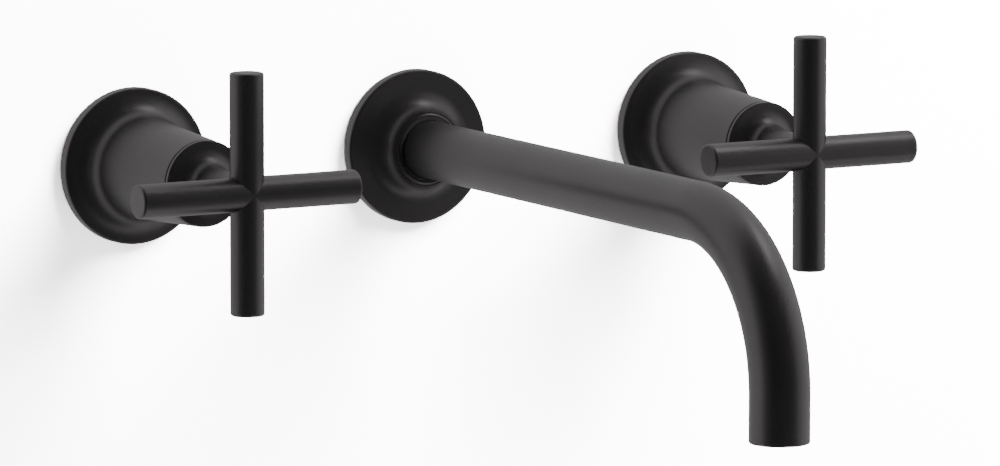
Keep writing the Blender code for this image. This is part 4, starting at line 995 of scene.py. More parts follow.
def arm_rings(bm, turn, middle):
    """The rings of one arm, from the mitre to its rounded end."""
    tip = arc(ARM_RADIUS - ARM_END_ROUND, ARM_REACH - ARM_END_ROUND, ARM_END_ROUND, 0, pi / 2, 8)
    stations = [(ARM_RADIUS, k / ARM_STATIONS) for k in range(ARM_STATIONS)]
    rings = []
    for radius, reach in stations + tip:
        vertices = []
        for k in range(ARM_SIDES):
            angle = 2 * pi * k / ARM_SIDES
            across = radius * sin(angle)
            start, end = abs(across), ARM_REACH - ARM_END_ROUND
            along = start + (end - start) * reach if (radius, reach) in stations else reach
            point = turn @ Vector((along, radius * cos(angle), across))
            vertices.append(bm.verts.new(middle + point))
        rings.append(vertices)
    return rings


def cross(name, axis_x):
    bm = bmesh.new()
    middle = Vector((axis_x, -HANDLE_OUT, 0))
    for quarter in range(4):
        rings = arm_rings(bm, Matrix.Rotation(quarter * pi / 2, 3, "Y"), middle)
        for one, other in zip(rings, rings[1:]):
            bridge(bm, one, other)
        bm.faces.new(rings[-1])
    bmesh.ops.remove_doubles(bm, verts=bm.verts, dist=0.002 * MM)
    return new_object(name, bm)


# %% The hub and the whole handle
HUB_OUT = NECK_END_OUT + 0.3 * MM
HUB_EDGE = 1.5 * MM
HUB_DISC_RADIUS = 13.65 * MM
HUB_EDGE_ROUND = 0.35 * MM
HUB_SWEEP = 5.4 * MM
HUB_STEM_RADIUS = 6 * MM
HUB_BOSS_RADIUS = 7.6 * MM
HUB_BOSS_OUT = out_from("hot_handle")
HUB_BORE_END = HUB_BOSS_OUT + 24 * MM
SPLINE_RADIUS = 3.6 * MM
SLIP = 0.3 * MM
GRUB_OUT = HUB_OUT + 5.7 * MM
GRUB_RADIUS = 1.9 * MM
MITRE_SLACK = 0.003 * MM


def hub_outline():
    front = HUB_OUT + HUB_EDGE
    rim = arc(HUB_DISC_RADIUS - HUB_EDGE_ROUND, front - HUB_EDGE_ROUND, HUB_EDGE_ROUND, 0, pi / 2, 6)
    sweep = arc(HUB_STEM_RADIUS + HUB_SWEEP, front + HUB_SWEEP, HUB_SWEEP, -pi / 2, -pi, 28)
    boss = [(0, HUB_BOSS_OUT), (HUB_BOSS_RADIUS, HUB_BOSS_OUT), (HUB_BOSS_RADIUS, HUB_OUT)]
    top = HANDLE_OUT - ARM_RADIUS / 2
    return boss + [(HUB_DISC_RADIUS, HUB_OUT)] + rim + sweep + [(ARM_RADIUS - 0.3 * MM, top), (0, top)]


def sharpen_mitres(piece, axis_x):
    """Marks the four diagonals where the arms meet: near the middle they are too shallow to find by angle."""
    for edge in piece.data.edges:
        ends = [piece.data.vertices[v].co for v in edge.vertices]
        on_diagonal = all(abs(abs(p.x - axis_x) - abs(p.z)) < MITRE_SLACK and -p.y > GRUB_OUT for p in ends)
        if on_diagonal and (ends[0] - ends[1]).length > MITRE_SLACK:
            edge.use_edge_sharp = True


def handle(side):
    at = (AXIS_X[side], 0, 0)
    piece = cross(f"fine_{side}_handle", AXIS_X[side])
    join(piece, turned("hub", hub_outline(), at, sides=96, ease=0.3 * MM))
    bore, mouth = SPLINE_RADIUS + SLIP, HUB_BOSS_OUT - MM
    broach = [(0, mouth), (bore, mouth, LOBES), (bore, HUB_BORE_END, LOBES), (0, HUB_BORE_END)]
    cut(piece, turned("broach", broach, at, sides=72, ease=0))
    screw_at = (AXIS_X[side], -GRUB_OUT, 0)
    cut(piece, drill("drill", screw_at, DOWN, GRUB_RADIUS + SLIP / 2, 2 * MM, HUB_DISC_RADIUS))
    finish_piece(piece, BLACK, f"{side}_handle_set", "matte_black", f"{side}_handle")
    sharpen_mitres(piece, AXIS_X[side])
    return piece


for side in SIDES:
    print("handle:", len(handle(side).data.polygons), "faces")

# %% [markdown]
# ## Screws
#
# The handles and the spout are held by grub screws with a hexagon socket, from below, where
# nobody sees them. The bracket has socket screws into the valve bodies, and pan head screws into
# the studs. All of them are one outline with a thread cut on the shank, so one function makes
# them, and a loop places them.

# %% Screw makers
SOCKET_KEY = 0.46


def grub_screw(node, body, at):
    """Points down. Its thread lies along Z, so it is cut before the piece is turned."""
    low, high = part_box(node)
    radius, length = (high.x - low.x) / 2, high.z - low.z
    key, pitch = radius * SOCKET_KEY, 0.5 * MM
    shank = shaft(radius, 0, length, pitch)
    socket = [(key, length, HEX), (key, length / 2, HEX), (0, length / 2)]
    piece = turned(f"fine_{node}", [(0, 0)] + shank + socket, sides=48, ease=0)
    cut_thread(piece, (0, 0), radius, 0, length, pitch, 0.22 * MM, STEEL)
    turn = OUT.rotation_difference(DOWN).to_matrix().to_4x4()
    piece.data.transform(Matrix.Translation((at[0], at[1], high.z)) @ turn)
    return finish_piece(piece, STEEL, body, "steel", node)


def bracket_screw(node, shank_radius, head_length, point, pitch, depth):
    """Points into the room or the wall along Y, with its head on the room side if it is a stud screw."""
    low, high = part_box(node)
    middle = (low + high) / 2
    head_radius = (high.x - low.x) / 2
    into_wall = point > 0
    tip, head = (-high.y, -low.y) if into_wall else (-low.y, -high.y)
    way = 1 if head > tip else -1
    seat = head - way * head_length
    start = tip + way * point
    corners = [(0, tip)] + ([(shank_radius * 0.15, tip)] if into_wall else [])
    corners += shaft(shank_radius, start, seat, pitch)
    key = head_radius * SOCKET_KEY
    corners += [(head_radius, seat), (head_radius, seat + way * head_length * 0.55)]
    corners += [(head_radius * 0.82, head), (key, head, HEX), (key, head - way * head_length / 2, HEX)]
    corners += [(0, head - way * head_length / 2)]
    piece = turned(f"fine_{node}", corners, (middle.x, 0, middle.z), sides=48, ease=0.3 * MM)
    first, last = sorted((start, seat))
    cut_thread(piece, (middle.x, middle.z), shank_radius, first, last, pitch, depth, STEEL)
    return finish_piece(piece, STEEL, FIXED, "steel", node)


for side in SIDES:
    grub_screw(f"{side}_handle_screw", f"{side}_handle_set", (AXIS_X[side], -GRUB_OUT))
    bracket_screw(f"{side}_body_screw", 2.4 * MM, 3 * MM, 0, 0.8 * MM, 0.35 * MM)
grub_screw("spout_screw", FIXED, (0, -SCREW_OUT))
for number in range(1, 5):
    bracket_screw(f"stud_screw_{number}", 2.2 * MM, 2.8 * MM, 4.4 * MM, 1.8 * MM, 0.7 * MM)
print("screws:", [n for n in finished if "screw" in n])

# %% [markdown]
# ## Outlet
#
# A threaded cup inside the spout's tip holds a moulded flow straightener, and a washer seals it.
# The straightener is a disc with rings of small holes. Geometry Nodes place one hole maker on the
# points of each ring, and a Boolean takes them all out of the disc at once.

# %% Holes in rings


def hole_rings_tree():
    tree, given, result = geometry_tree("hole_rings", {
        "Pitch": FLOAT, "Hole Radius": FLOAT, "Length": FLOAT, "Material": MATERIAL})
    size = {"Radius": given["Hole Radius"], "Depth": given["Length"]}
    pin = add(tree, "GeometryNodeMeshCylinder", Vertices=16, **size)
    rings = tree.nodes.new("GeometryNodeJoinGeometry")
    middle = add(tree, "GeometryNodeMeshLine", Count=1)
    tree.links.new(middle.outputs[0], rings.inputs[0])
    for lap in (1, 2):
        radius = math(tree, "MULTIPLY", given["Pitch"], float(lap))
        circle = add(tree, "GeometryNodeMeshCircle", Vertices=6 * lap, Radius=radius)
        tree.links.new(circle.outputs[0], rings.inputs[0])
    pins = add(tree, "GeometryNodeInstanceOnPoints", Points=rings.outputs[0], Instance=pin.outputs[0])
    end_tree(tree, pins.outputs[0], given, result)
    return tree


TIP_AT = (0, -SPOUT_REACH, 0)


def below(node):
    """How far a piece's ends are below the spout's axis: near end, far end."""
    low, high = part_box(node)
    return -high.z, -low.z


# %% Flow straightener, its cup and its washer
near, far = below("aerator_insert")
insert_radius = half_width("aerator_insert")
corners = [(0, near), (insert_radius, near), (insert_radius, far), (0, far)]
insert = turned("fine_aerator_insert", corners, TIP_AT, DOWN, 72, 0.3 * MM)
holes = new_object("holes", bmesh.new())
hole_length = far - near + 2 * MM
run_tree(holes, hole_rings_tree(), Pitch=2.1 * MM, Hole_Radius=0.75 * MM, Length=hole_length, Material=ACETAL)
holes.data.transform(Matrix.Translation((0, -SPOUT_REACH, -(near + far) / 2)))
cut(insert, holes)
finish_piece(insert, ACETAL, FIXED, "acetal", "aerator_insert")

CUP_WALL, LIP, LIP_HOLE = 1.2 * MM, 1 * MM, 5.2 * MM
near, far = below("aerator_housing")
cup_radius = half_width("aerator_housing")
bore = cup_radius - CUP_WALL
corners = [(cup_radius, near), (cup_radius, far), (LIP_HOLE, far), (LIP_HOLE, far - LIP)]
corners += [(bore, far - LIP), (bore, near)]
cup = turned("fine_aerator_housing", corners, TIP_AT, DOWN, 96, 0.3 * MM)
finish_piece(cup, BLACK, FIXED, "matte_black", "aerator_housing")

near, far = below("aerator_washer")
corners = [(cup_radius, near), (cup_radius, far), (LIP_HOLE, far), (LIP_HOLE, near)]
washer = turned("fine_aerator_washer", corners, TIP_AT, DOWN, 72, 0.4 * MM)
finish_piece(washer, RUBBER, FIXED, "rubber", "aerator_washer")
print("holes in the straightener:", 1 + 6 + 12)

# %% [markdown]
# ## Drive line and trim carriers
#
# Between the handle and the cartridge run turned brass parts: the cartridge's stem, a splined
# extension, the union nut that clamps the cartridge, and the threaded sleeve that carries the
# escutcheon. A nylon bushing steadies the handle's boss. Every outline repeats the packed
# model's box, and names only what the box can't say.

# %% Nuts, sleeves and bushings
NUT_TUBE_OUT = out_to("hot_bonnet_nut")
NUT_BACK_OUT = out_from("hot_bonnet_nut")
NUT_FRONT_OUT = out_from("hot_mounting_sleeve") - 0.3 * MM
NUT_TUBE_RADIUS, NUT_BORE, NUT_CUP_RADIUS, NUT_HALF_FLATS = 9.2 * MM, 6.9 * MM, 13.5 * MM, 15 * MM
FINE_PITCH, FINE_DEPTH = 1.0 * MM, 0.45 * MM


def bonnet_nut(side):
    lip = NUT_FRONT_OUT - 4 * MM
    flats = [(NUT_CUP_RADIUS + 0.8 * MM, NUT_BACK_OUT), (NUT_HALF_FLATS, NUT_BACK_OUT + 0.7 * MM, HEX),
             (NUT_HALF_FLATS, NUT_FRONT_OUT - 0.7 * MM, HEX), (NUT_HALF_FLATS - 0.7 * MM, NUT_FRONT_OUT)]
    tube_shaft = shaft(NUT_TUBE_RADIUS, NUT_FRONT_OUT, NUT_TUBE_OUT, FINE_PITCH)
    neck = [(NUT_TUBE_RADIUS, NUT_FRONT_OUT)] + tube_shaft[1:]
    inside = [(NUT_BORE, NUT_TUBE_OUT), (NUT_BORE, lip)]
    inside += [(NUT_CUP_RADIUS, lip), (NUT_CUP_RADIUS, NUT_BACK_OUT)]
    piece = turned(f"fine_{side}_bonnet_nut", flats + neck + inside, (AXIS_X[side], 0, 0), sides=96)
    cut_thread(piece, (AXIS_X[side], 0), NUT_TUBE_RADIUS, NUT_FRONT_OUT + MM, NUT_TUBE_OUT,
               FINE_PITCH, FINE_DEPTH, BRASS[side])
    return finish_piece(piece, BRASS[side], FIXED, "machined_brass", f"{side}_bonnet_nut")


def sleeve(side):
    node = f"{side}_mounting_sleeve"
    start, end, bore = out_from(node), out_to(node), SLEEVE_RADIUS - 1.8 * MM
    corners = shaft(SLEEVE_RADIUS, start, end, FINE_PITCH) + [(bore, end), (bore, start)]
    piece = turned(f"fine_{node}", corners, (AXIS_X[side], 0, 0), sides=72, ease=0.3 * MM)
    thread = {"pitch": FINE_PITCH, "depth": FINE_DEPTH, "material": BRASS[side]}
    cut_thread(piece, (AXIS_X[side], 0), SLEEVE_RADIUS, start + MM, end - MM, **thread)
    return finish_piece(piece, BRASS[side], FIXED, "machined_brass", node)


def bushing(side):
    node = f"{side}_handle_bushing"
    outer, bore = half_width(node), HUB_BOSS_RADIUS + SLIP
    corners = [(outer, out_from(node)), (outer, out_to(node)), (bore, out_to(node)), (bore, out_from(node))]
    piece = turned(f"fine_{node}", corners, (AXIS_X[side], 0, 0), ease=0.4 * MM)
    return finish_piece(piece, NYLON, FIXED, "nylon", node)


for side in SIDES:
    print([p.name for p in (bonnet_nut(side), sleeve(side), bushing(side))])

# %% Stem and extension
STEM_RADIUS, STEM_SHOULDER_OUT = 4.7 * MM, -6.5 * MM
EXTENSION_RADIUS, EXTENSION_HEAD_RADIUS = 4.6 * MM, 6.2 * MM
STEM_FOOT_OUT = -44.7 * MM
STEM_COLLAR_RADIUS = half_width("hot_stem")


def round_groove(middle, floor, shoulder, width):
    half = width / 2
    low, high = middle - half, middle + half
    return [(shoulder, low), (floor, low), (floor, high), (shoulder, high)]


def stem(side):
    node = f"{side}_stem"
    collar = -33.3 * MM
    corners = [(0, STEM_FOOT_OUT), (STEM_RADIUS, STEM_FOOT_OUT), (STEM_RADIUS, collar - 1.7 * MM),
               (STEM_COLLAR_RADIUS, collar - 1.7 * MM), (STEM_COLLAR_RADIUS, collar), (STEM_RADIUS, collar)]
    corners += round_groove(-21 * MM, 3.1 * MM, STEM_RADIUS, 1.9 * MM)
    corners += round_groove(-8.3 * MM, 3.6 * MM, STEM_RADIUS, 1.4 * MM)
    corners += [(STEM_RADIUS, STEM_SHOULDER_OUT), (SPLINE_RADIUS, STEM_SHOULDER_OUT, LOBES),
                (SPLINE_RADIUS, out_to(node), LOBES), (0, out_to(node))]
    at = (AXIS_X[side], 0, 0)
    piece = turned(f"fine_{node}", corners, at, sides=72, ease=0.2 * MM)
    bm = bmesh.new()
    low, high = (-4.5 * MM, -STEM_FOOT_OUT - MM, -1.3 * MM), (4.5 * MM, -STEM_FOOT_OUT + 1.7 * MM, 1.3 * MM)
    box_shape(bm, low, high)
    join(piece, new_object("tab", bm, at))
    return finish_piece(piece, BRASS[side], f"{side}_handle_set", "machined_brass", node)


def box_shape(bm, low, high):
    bmesh.ops.create_cube(bm, size=1)
    for vertex in bm.verts:
        vertex.co = Vector([low[k] if vertex.co[k] < 0 else high[k] for k in range(3)])


def extension(side):
    node = f"{side}_stem_extension"
    start, end = out_from(node), out_to(node)
    socket, socket_end = SPLINE_RADIUS + SLIP, 6.6 * MM
    corners = [(0, socket_end), (socket, socket_end, LOBES), (socket, start, LOBES),
               (EXTENSION_HEAD_RADIUS, start), (EXTENSION_HEAD_RADIUS, socket_end + 2 * MM),
               (EXTENSION_RADIUS, socket_end + 3 * MM),
               (EXTENSION_RADIUS, HUB_BOSS_OUT - SLIP), (SPLINE_RADIUS, HUB_BOSS_OUT - SLIP, LOBES),
               (SPLINE_RADIUS, end, LOBES), (0, end)]
    piece = turned(f"fine_{node}", corners, (AXIS_X[side], 0, 0), sides=72, ease=0.3 * MM)
    return finish_piece(piece, BRASS[side], f"{side}_handle_set", "machined_brass", node)


for side in SIDES:
    print([p.name for p in (stem(side), extension(side))])

# %% [markdown]
# ## Cartridges
#
# Inside each valve body a brass shell holds two ceramic discs. Each disc has two sector holes.
# The stem turns the front one over the back one, and a quarter turn takes it from closed to
# open. A rubber seal presses the discs together, and a spring clip keeps the stem in place.

# %% Flat shapes
SECTOR = radians(70)
PORT_INNER, PORT_OUTER = 2.8 * MM, 6.1 * MM


def flat_shape(name, corners, low, high, at=(0, 0, 0), upright=False):
    """A prism of (x, z) corners between two outs, or of (x, y) corners between two heights."""
    bm = bmesh.new()
    rings = []
    for level in (low, high):
        points = [(a, b, level) if upright else (a, -level, b) for a, b in corners]
        rings.append([bm.verts.new(p) for p in points])
        bm.faces.new(rings[-1])
    bridge(bm, *rings)
    return new_object(name, bm, at)


def port_shape(middle_angle):
    """A sector between two radii."""
    start, end = middle_angle - SECTOR / 2, middle_angle + SECTOR / 2
    return arc(0, 0, PORT_OUTER, start, end, 16) + arc(0, 0, PORT_INNER, end, start, 8)


# %% Ceramic discs
def disc(node, body, axis_x, first_angle, slotted):
    radius, start, end = half_width(node), out_from(node), out_to(node)
    at = (axis_x, 0, 0)
    piece = turned(f"fine_{node}", [(0, start), (radius, start), (radius, end), (0, end)], at, sides=96,
                   ease=0.25 * MM)
    for half_turn in (0, pi):
        cut(piece, flat_shape("port", port_shape(first_angle + half_turn), start - MM, end + MM, at))
    if slotted:
        half, width = 4.8 * MM, 1.6 * MM
        corners = [(-half, -width), (half, -width), (half, width), (-half, width)]
        cut(piece, flat_shape("slot", corners, end - 1.7 * MM, end + MM, at))
    return finish_piece(piece, CERAMIC, body, "ceramic", node)


for side in SIDES:
    disc(f"{side}_fixed_disc", FIXED, AXIS_X[side], 0, False)
    disc(f"{side}_moving_disc", f"{side}_handle_set", AXIS_X[side], pi / 2, True)
print("disc ports:", round(1000 * (PORT_OUTER - PORT_INNER), 1), "mm wide")

# %% Cartridge shell, seal and clip
SHELL_RADIUS, CHAMBER_RADIUS, SHELL_NOSE_RADIUS, STEM_BORE = 9.7 * MM, 7.7 * MM, 6.6 * MM, 5.0 * MM
CHAMBER_FRONT_OUT, SHELL_FLANGE_BACK_OUT = -33 * MM, -15.7 * MM
CLIP_OPENING = radians(60)


def cartridge_shell(side):
    node = f"{side}_cartridge_shell"
    back, nose, flange_front = out_from(node), out_to(node), SHELL_FLANGE_BACK_OUT + 2.5 * MM
    corners = [(CHAMBER_RADIUS, back), (SHELL_RADIUS, back)]
    corners += round_groove(-26 * MM, 8 * MM, SHELL_RADIUS, 2.0 * MM)
    corners += [(SHELL_RADIUS, SHELL_FLANGE_BACK_OUT), (half_width(node), SHELL_FLANGE_BACK_OUT),
                (half_width(node), flange_front), (SHELL_NOSE_RADIUS, flange_front),
                (SHELL_NOSE_RADIUS, nose), (STEM_BORE, nose), (STEM_BORE, CHAMBER_FRONT_OUT),
                (CHAMBER_RADIUS, CHAMBER_FRONT_OUT)]
    at = (AXIS_X[side], 0, 0)
    piece = turned(f"fine_{node}", corners, at, sides=96, ease=0.25 * MM)
    half_length, half_height = 3.5 * MM, 4 * MM
    bm = bmesh.new()
    low = (-11 * MM, 40 * MM - half_length, -half_height)
    box_shape(bm, low, (11 * MM, 40 * MM + half_length, half_height))
    cut(piece, new_object("windows", bm, at))
    return finish_piece(piece, BRASS[side], FIXED, "machined_brass", node)


def seat_seal(side):
    node = f"{side}_seat_seal"
    outer, start, end = half_width(node), out_from(node), out_to(node)
    corners = [(outer, start), (outer, end), (outer - 2.2 * MM, end), (outer - 2.2 * MM, start)]
    piece = turned(f"fine_{node}", corners, (AXIS_X[side], 0, 0), sides=72, ease=0.5 * MM)
    return finish_piece(piece, RUBBER, FIXED, "rubber", node)


def stem_clip(side):
    """A spring wire ring, open below."""
    node = f"{side}_stem_clip"
    low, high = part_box(node)
    outer, inner = (high.x - low.x) / 2, 3.9 * MM
    start, end = CLIP_OPENING / 2 - pi / 2, 3 * pi / 2 - CLIP_OPENING / 2
    corners = arc(0, 0, outer, start, end, 48) + arc(0, 0, inner, end, start, 48)
    piece = flat_shape(f"fine_{node}", corners, -high.y, -low.y, (AXIS_X[side], 0, 0))
    round_edges(piece, 0.15 * MM, 40, 2)
    return finish_piece(piece, STEEL, f"{side}_handle_set", "steel", node)


for side in SIDES:
    print([p.name for p in (cartridge_shell(side), seat_seal(side), stem_clip(side))])

# %% [markdown]
# ## Cast bodies
#
# The valve bodies and the tee are sand cast in brass, and then machined only where something
# seals or screws in. To get the soft corners of a casting, the raw shape is joined from turned
# pieces, remeshed into small even faces, and smoothed. The machined faces come afterwards as
# sharp cuts, so each body shows both surfaces, as the real one does.

# %% Casting
SKIN = 0.75 * MM


LARGEST_FLAKE = 24


def cast(piece, smoothing):
    """Remesh and smooth a joined shape, which rounds its corners like a casting's."""
    remesh = piece.modifiers.new("remesh", "REMESH")
    remesh.mode = "VOXEL"
    remesh.voxel_size = SKIN
    smooth = piece.modifiers.new("smooth", "SMOOTH")
    smooth.factor = 0.5
    smooth.iterations = smoothing
    apply_modifiers(piece)


def sweep_shavings(piece):
    """Deletes the loose flakes that crossing bores leave, each of a few points."""
    bm = bmesh.new()
    bm.from_mesh(piece.data)
    waiting = set(bm.verts)
    flakes = []
    while waiting:
        body = [waiting.pop()]
        for vertex in body:
            near = {edge.other_vert(vertex) for edge in vertex.link_edges} & waiting
            waiting -= near
            body.extend(near)
        if len(body) <= LARGEST_FLAKE:
            flakes += body
    bmesh.ops.delete(bm, geom=flakes, context="VERTS")
    bm.to_mesh(piece.data)
    bm.free()
    print(piece.name, "had", len(flakes), "loose points")


def stepped_hole(name, steps, at, facing):
    """A hole that gets narrower inwards: (radius, from, to) from its mouth."""
    corners = [(0, steps[-1][2])]
    for radius, near, far in reversed(steps):
        corners += [(radius, far), (radius, near)]
    corners.append((0, steps[0][1]))
    return turned(name, corners, at, facing, 64, 0)


def face_off(piece, at, facing, radius):
    """Machines a flat end: everything beyond a plane goes."""
    cut(piece, drill("facing", at, facing, radius, 0, 6 * MM))


# %% Valve bodies
MOUTH_OUT, SEAT_OUT, OUTLET_OUT, INLET_OUT = -16 * MM, -56 * MM, -40 * MM, -68 * MM
VALVE_RADIUS, VALVE_MOUTH_RADIUS, VALVE_BORE, WATERWAY = 15 * MM, 13.2 * MM, 10 * MM, 7 * MM
INLET_RADIUS, INLET_THREAD_RADIUS, SIDE_RADIUS, SIDE_REACH = 13.5 * MM, 9.6 * MM, 10.5 * MM, 26 * MM
TUBE_RADIUS, TUBE_BORE = 7.94 * MM, 6.9 * MM
SOCKET_DEPTH = 11 * MM
SPARE = 1.5 * MM


def valve_body(side, to_middle):
    node = f"{side}_valve_body"
    low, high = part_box(node)
    back, drop, at = -high.y, -low.z, (AXIS_X[side], 0, 0)
    inlet_at, outlet_at = (AXIS_X[side], -INLET_OUT, 0), (AXIS_X[side], -OUTLET_OUT, 0)
    middle = Vector((to_middle, 0, 0))
    shoulder = MOUTH_OUT - 14 * MM
    barrel = [(0, back - SPARE), (VALVE_RADIUS, back - SPARE), (VALVE_RADIUS, shoulder), (0, shoulder)]
    piece = turned(f"fine_{node}", barrel, at, sides=64, ease=0)
    bead = [(INLET_RADIUS, 0), (INLET_RADIUS, drop + SPARE)]
    join(piece, turned("inlet", [(0, 0)] + bead + [(0, drop + SPARE)], inlet_at, DOWN, 64, 0))
    boss = [(0, 0), (SIDE_RADIUS, 0), (SIDE_RADIUS, SIDE_REACH + SPARE), (0, SIDE_REACH + SPARE)]
    join(piece, turned("outlet", boss, outlet_at, middle, 64, 0))
    cast(piece, 6)
    face_off(piece, (AXIS_X[side], -back, 0), -OUT, 30 * MM)
    face_off(piece, (inlet_at[0], inlet_at[1], -drop), DOWN, 20 * MM)
    face_off(piece, Vector(outlet_at) + middle * SIDE_REACH, middle, 20 * MM)
    mouth = [(0, shoulder - 3 * MM), (VALVE_MOUTH_RADIUS, shoulder - 3 * MM), (VALVE_MOUTH_RADIUS, MOUTH_OUT),
             (0, MOUTH_OUT)]
    join(piece, turned("mouth", mouth, at, sides=96, ease=0.4 * MM))
    bore = [(VALVE_BORE, MOUTH_OUT + MM, SEAT_OUT), (WATERWAY, SEAT_OUT, INLET_OUT - 6 * MM)]
    cut(piece, stepped_hole("bore", bore, at, OUT))
    step = drop - 15 * MM
    supply = [(INLET_THREAD_RADIUS, drop + MM, step), (WATERWAY - 0.5 * MM, step, 0.5 * MM)]
    cut(piece, stepped_hole("supply", supply, inlet_at, DOWN))
    socket = SIDE_REACH - SOCKET_DEPTH
    side_hole = [(TUBE_RADIUS + SLIP, SIDE_REACH + MM, socket), (TUBE_BORE, socket, 2 * MM)]
    cut(piece, stepped_hole("side hole", side_hole, outlet_at, middle))
    cut(piece, drill("tapping", at, OUT, 2.7 * MM, back - MM, back + 5 * MM))
    return finish_piece(piece, CAST, FIXED, "cast_brass", node)


for side, sign in SIDES.items():
    print("valve body:", len(valve_body(side, -sign).data.polygons), "faces")

# %% Tee
TEE_REACH, TEE_BOSS_RADIUS, TEE_MOUTH_OUT = 23 * MM, 14 * MM, -16 * MM
ADAPTER_THREAD_RADIUS = 10 * MM
RIGHT = Vector((1, 0, 0))
tee_at = (0, -OUTLET_OUT, 0)
tee_mouth = TEE_MOUTH_OUT - OUTLET_OUT
end = TEE_REACH + SPARE
run = [(0, -end), (SIDE_RADIUS, -end), (SIDE_RADIUS, end), (0, end)]
tee = turned("fine_mixing_tee", run, tee_at, RIGHT, 64, 0)
boss = [(0, 0), (TEE_BOSS_RADIUS, 3 * MM), (TEE_BOSS_RADIUS, tee_mouth + SPARE), (0, tee_mouth + SPARE)]
join(tee, turned("boss", boss, tee_at, sides=64, ease=0))
cast(tee, 6)
for way in (-1, 1):
    face_off(tee, (way * TEE_REACH, -OUTLET_OUT, 0), RIGHT * way, 20 * MM)
face_off(tee, (0, -TEE_MOUTH_OUT, 0), OUT, 20 * MM)
socket = TEE_REACH - SOCKET_DEPTH
far = TEE_REACH + MM
through = [(0, -far), (TUBE_RADIUS + SLIP, -far), (TUBE_RADIUS + SLIP, -socket), (TUBE_BORE, -socket),
           (TUBE_BORE, socket), (TUBE_RADIUS + SLIP, socket), (TUBE_RADIUS + SLIP, far), (0, far)]
cut(tee, turned("through", through, tee_at, RIGHT, 64, 0))
step = tee_mouth - 11 * MM
front = [(ADAPTER_THREAD_RADIUS + SLIP, tee_mouth + MM, step), (TUBE_BORE - 0.5 * MM, step, MM)]
cut(tee, stepped_hole("front", front, tee_at, OUT))
sweep_shavings(tee)
finish_piece(tee, CAST, FIXED, "cast_brass", "mixing_tee")
print("tee:", len(tee.data.polygons), "faces")

# %% [markdown]
# ## Crossover tubes and spout adapter
#
# Copper tubes carry the water from the valve bodies to the tee. The adapter screws into the tee,
# has a hexagon for the spanner, and holds the spout on a spigot with two sealing rings.

# %% Crossover tubes


def crossover(side, sign):
    node = f"{side}_crossover_tube"
    low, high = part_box(node)
    start, end = sorted((abs(low.x), abs(high.x)))
    corners = [(TUBE_RADIUS, start), (TUBE_RADIUS, end), (TUBE_BORE, end), (TUBE_BORE, start)]
    piece = turned(f"fine_{node}", corners, (0, -OUTLET_OUT, 0), RIGHT * sign, 96, 0.25 * MM)
    return finish_piece(piece, COPPER, FIXED, "copper_tube", node)


for side, sign in SIDES.items():
    print(crossover(side, sign).name)

# %% Spout adapter
ADAPTER_BORE, ADAPTER_HALF_FLATS, HEX_BACK_OUT, HEX_FRONT_OUT = 4.4 * MM, 12 * MM, -13 * MM, -8 * MM
SPIGOT_RADIUS = SPOUT_BORE - 0.3 * MM
adapter_back, adapter_end = out_from("spout_adapter"), out_to("spout_adapter")
corners = [(ADAPTER_BORE, adapter_back)]
corners += shaft(ADAPTER_THREAD_RADIUS, adapter_back, HEX_BACK_OUT, FINE_PITCH)
corners += [(ADAPTER_HALF_FLATS - 0.6 * MM, HEX_BACK_OUT), (ADAPTER_HALF_FLATS, HEX_BACK_OUT + 0.5 * MM, HEX)]
corners += [(ADAPTER_HALF_FLATS, HEX_FRONT_OUT - 0.5 * MM, HEX)]
corners += [(ADAPTER_HALF_FLATS - 0.6 * MM, HEX_FRONT_OUT)]
corners += [(SPOUT_RADIUS, HEX_FRONT_OUT), (SPOUT_RADIUS, SPOUT_START_OUT - 0.3 * MM)]
corners += [(SPIGOT_RADIUS, SPOUT_START_OUT - 0.3 * MM)]
for ring_out in (9 * MM, 27 * MM):
    corners += round_groove(ring_out, 5.7 * MM, SPIGOT_RADIUS, 2.0 * MM)
corners += [(SPIGOT_RADIUS, adapter_end - 0.8 * MM), (SPIGOT_RADIUS - 0.8 * MM, adapter_end)]
corners += [(ADAPTER_BORE, adapter_end)]
adapter = turned("fine_spout_adapter", corners, sides=96, ease=0.2 * MM)
cut_thread(adapter, (0, 0), ADAPTER_THREAD_RADIUS, adapter_back, HEX_BACK_OUT - MM, FINE_PITCH, FINE_DEPTH,
           BRASS["middle"])
cut(adapter, drill("dimple", (0, -SCREW_OUT, 0), DOWN, SCREW_RADIUS + SLIP, 6.3 * MM, SPOUT_RADIUS))
finish_piece(adapter, BRASS["middle"], FIXED, "machined_brass", "spout_adapter")
print("adapter:", len(adapter.data.polygons), "faces")

# %% [markdown]
# ## Bracket
#
# A galvanised steel strip joins both valve bodies and steps back to a slotted foot at each end.
# Bent strip has a round on both sides of each bend, so the strip's middle line is rounded first,
# and both faces are set off from it. The feet have rounded corners, like all pressed strip.

# %% The strip
STRIP, BEND_ROUND, FOOT_ROUND = 2.5 * MM, 4 * MM, 3.5 * MM
KNEE, HEEL = AXIS_X["cold"] + 20.4 * MM, AXIS_X["cold"] + 26.4 * MM
THROUGH_STRIP = (-120 * MM, -50 * MM)
STUD_X = HEEL + 10 * MM


def rounded_path(points, radius, steps=8):
    """A path whose inner corners are replaced by curves."""
    path = [Vector(points[0])]
    for before, here, after in zip(points, points[1:], points[2:]):
        here = Vector(here)
        first = here + (Vector(before) - here).normalized() * radius
        last = here + (Vector(after) - here).normalized() * radius
        path += [first * (1 - t) ** 2 + here * 2 * t * (1 - t) + last * t ** 2
                 for t in (k / steps for k in range(steps + 1))]
    return path + [Vector(points[-1])]


def offset_path(path, distance):
    """The path moved sideways, to its left."""
    moved = []
    for k, here in enumerate(path):
        along = (path[min(k + 1, len(path) - 1)] - path[max(k - 1, 0)]).normalized()
        moved.append(here + Vector((-along.y, along.x)) * distance)
    return moved


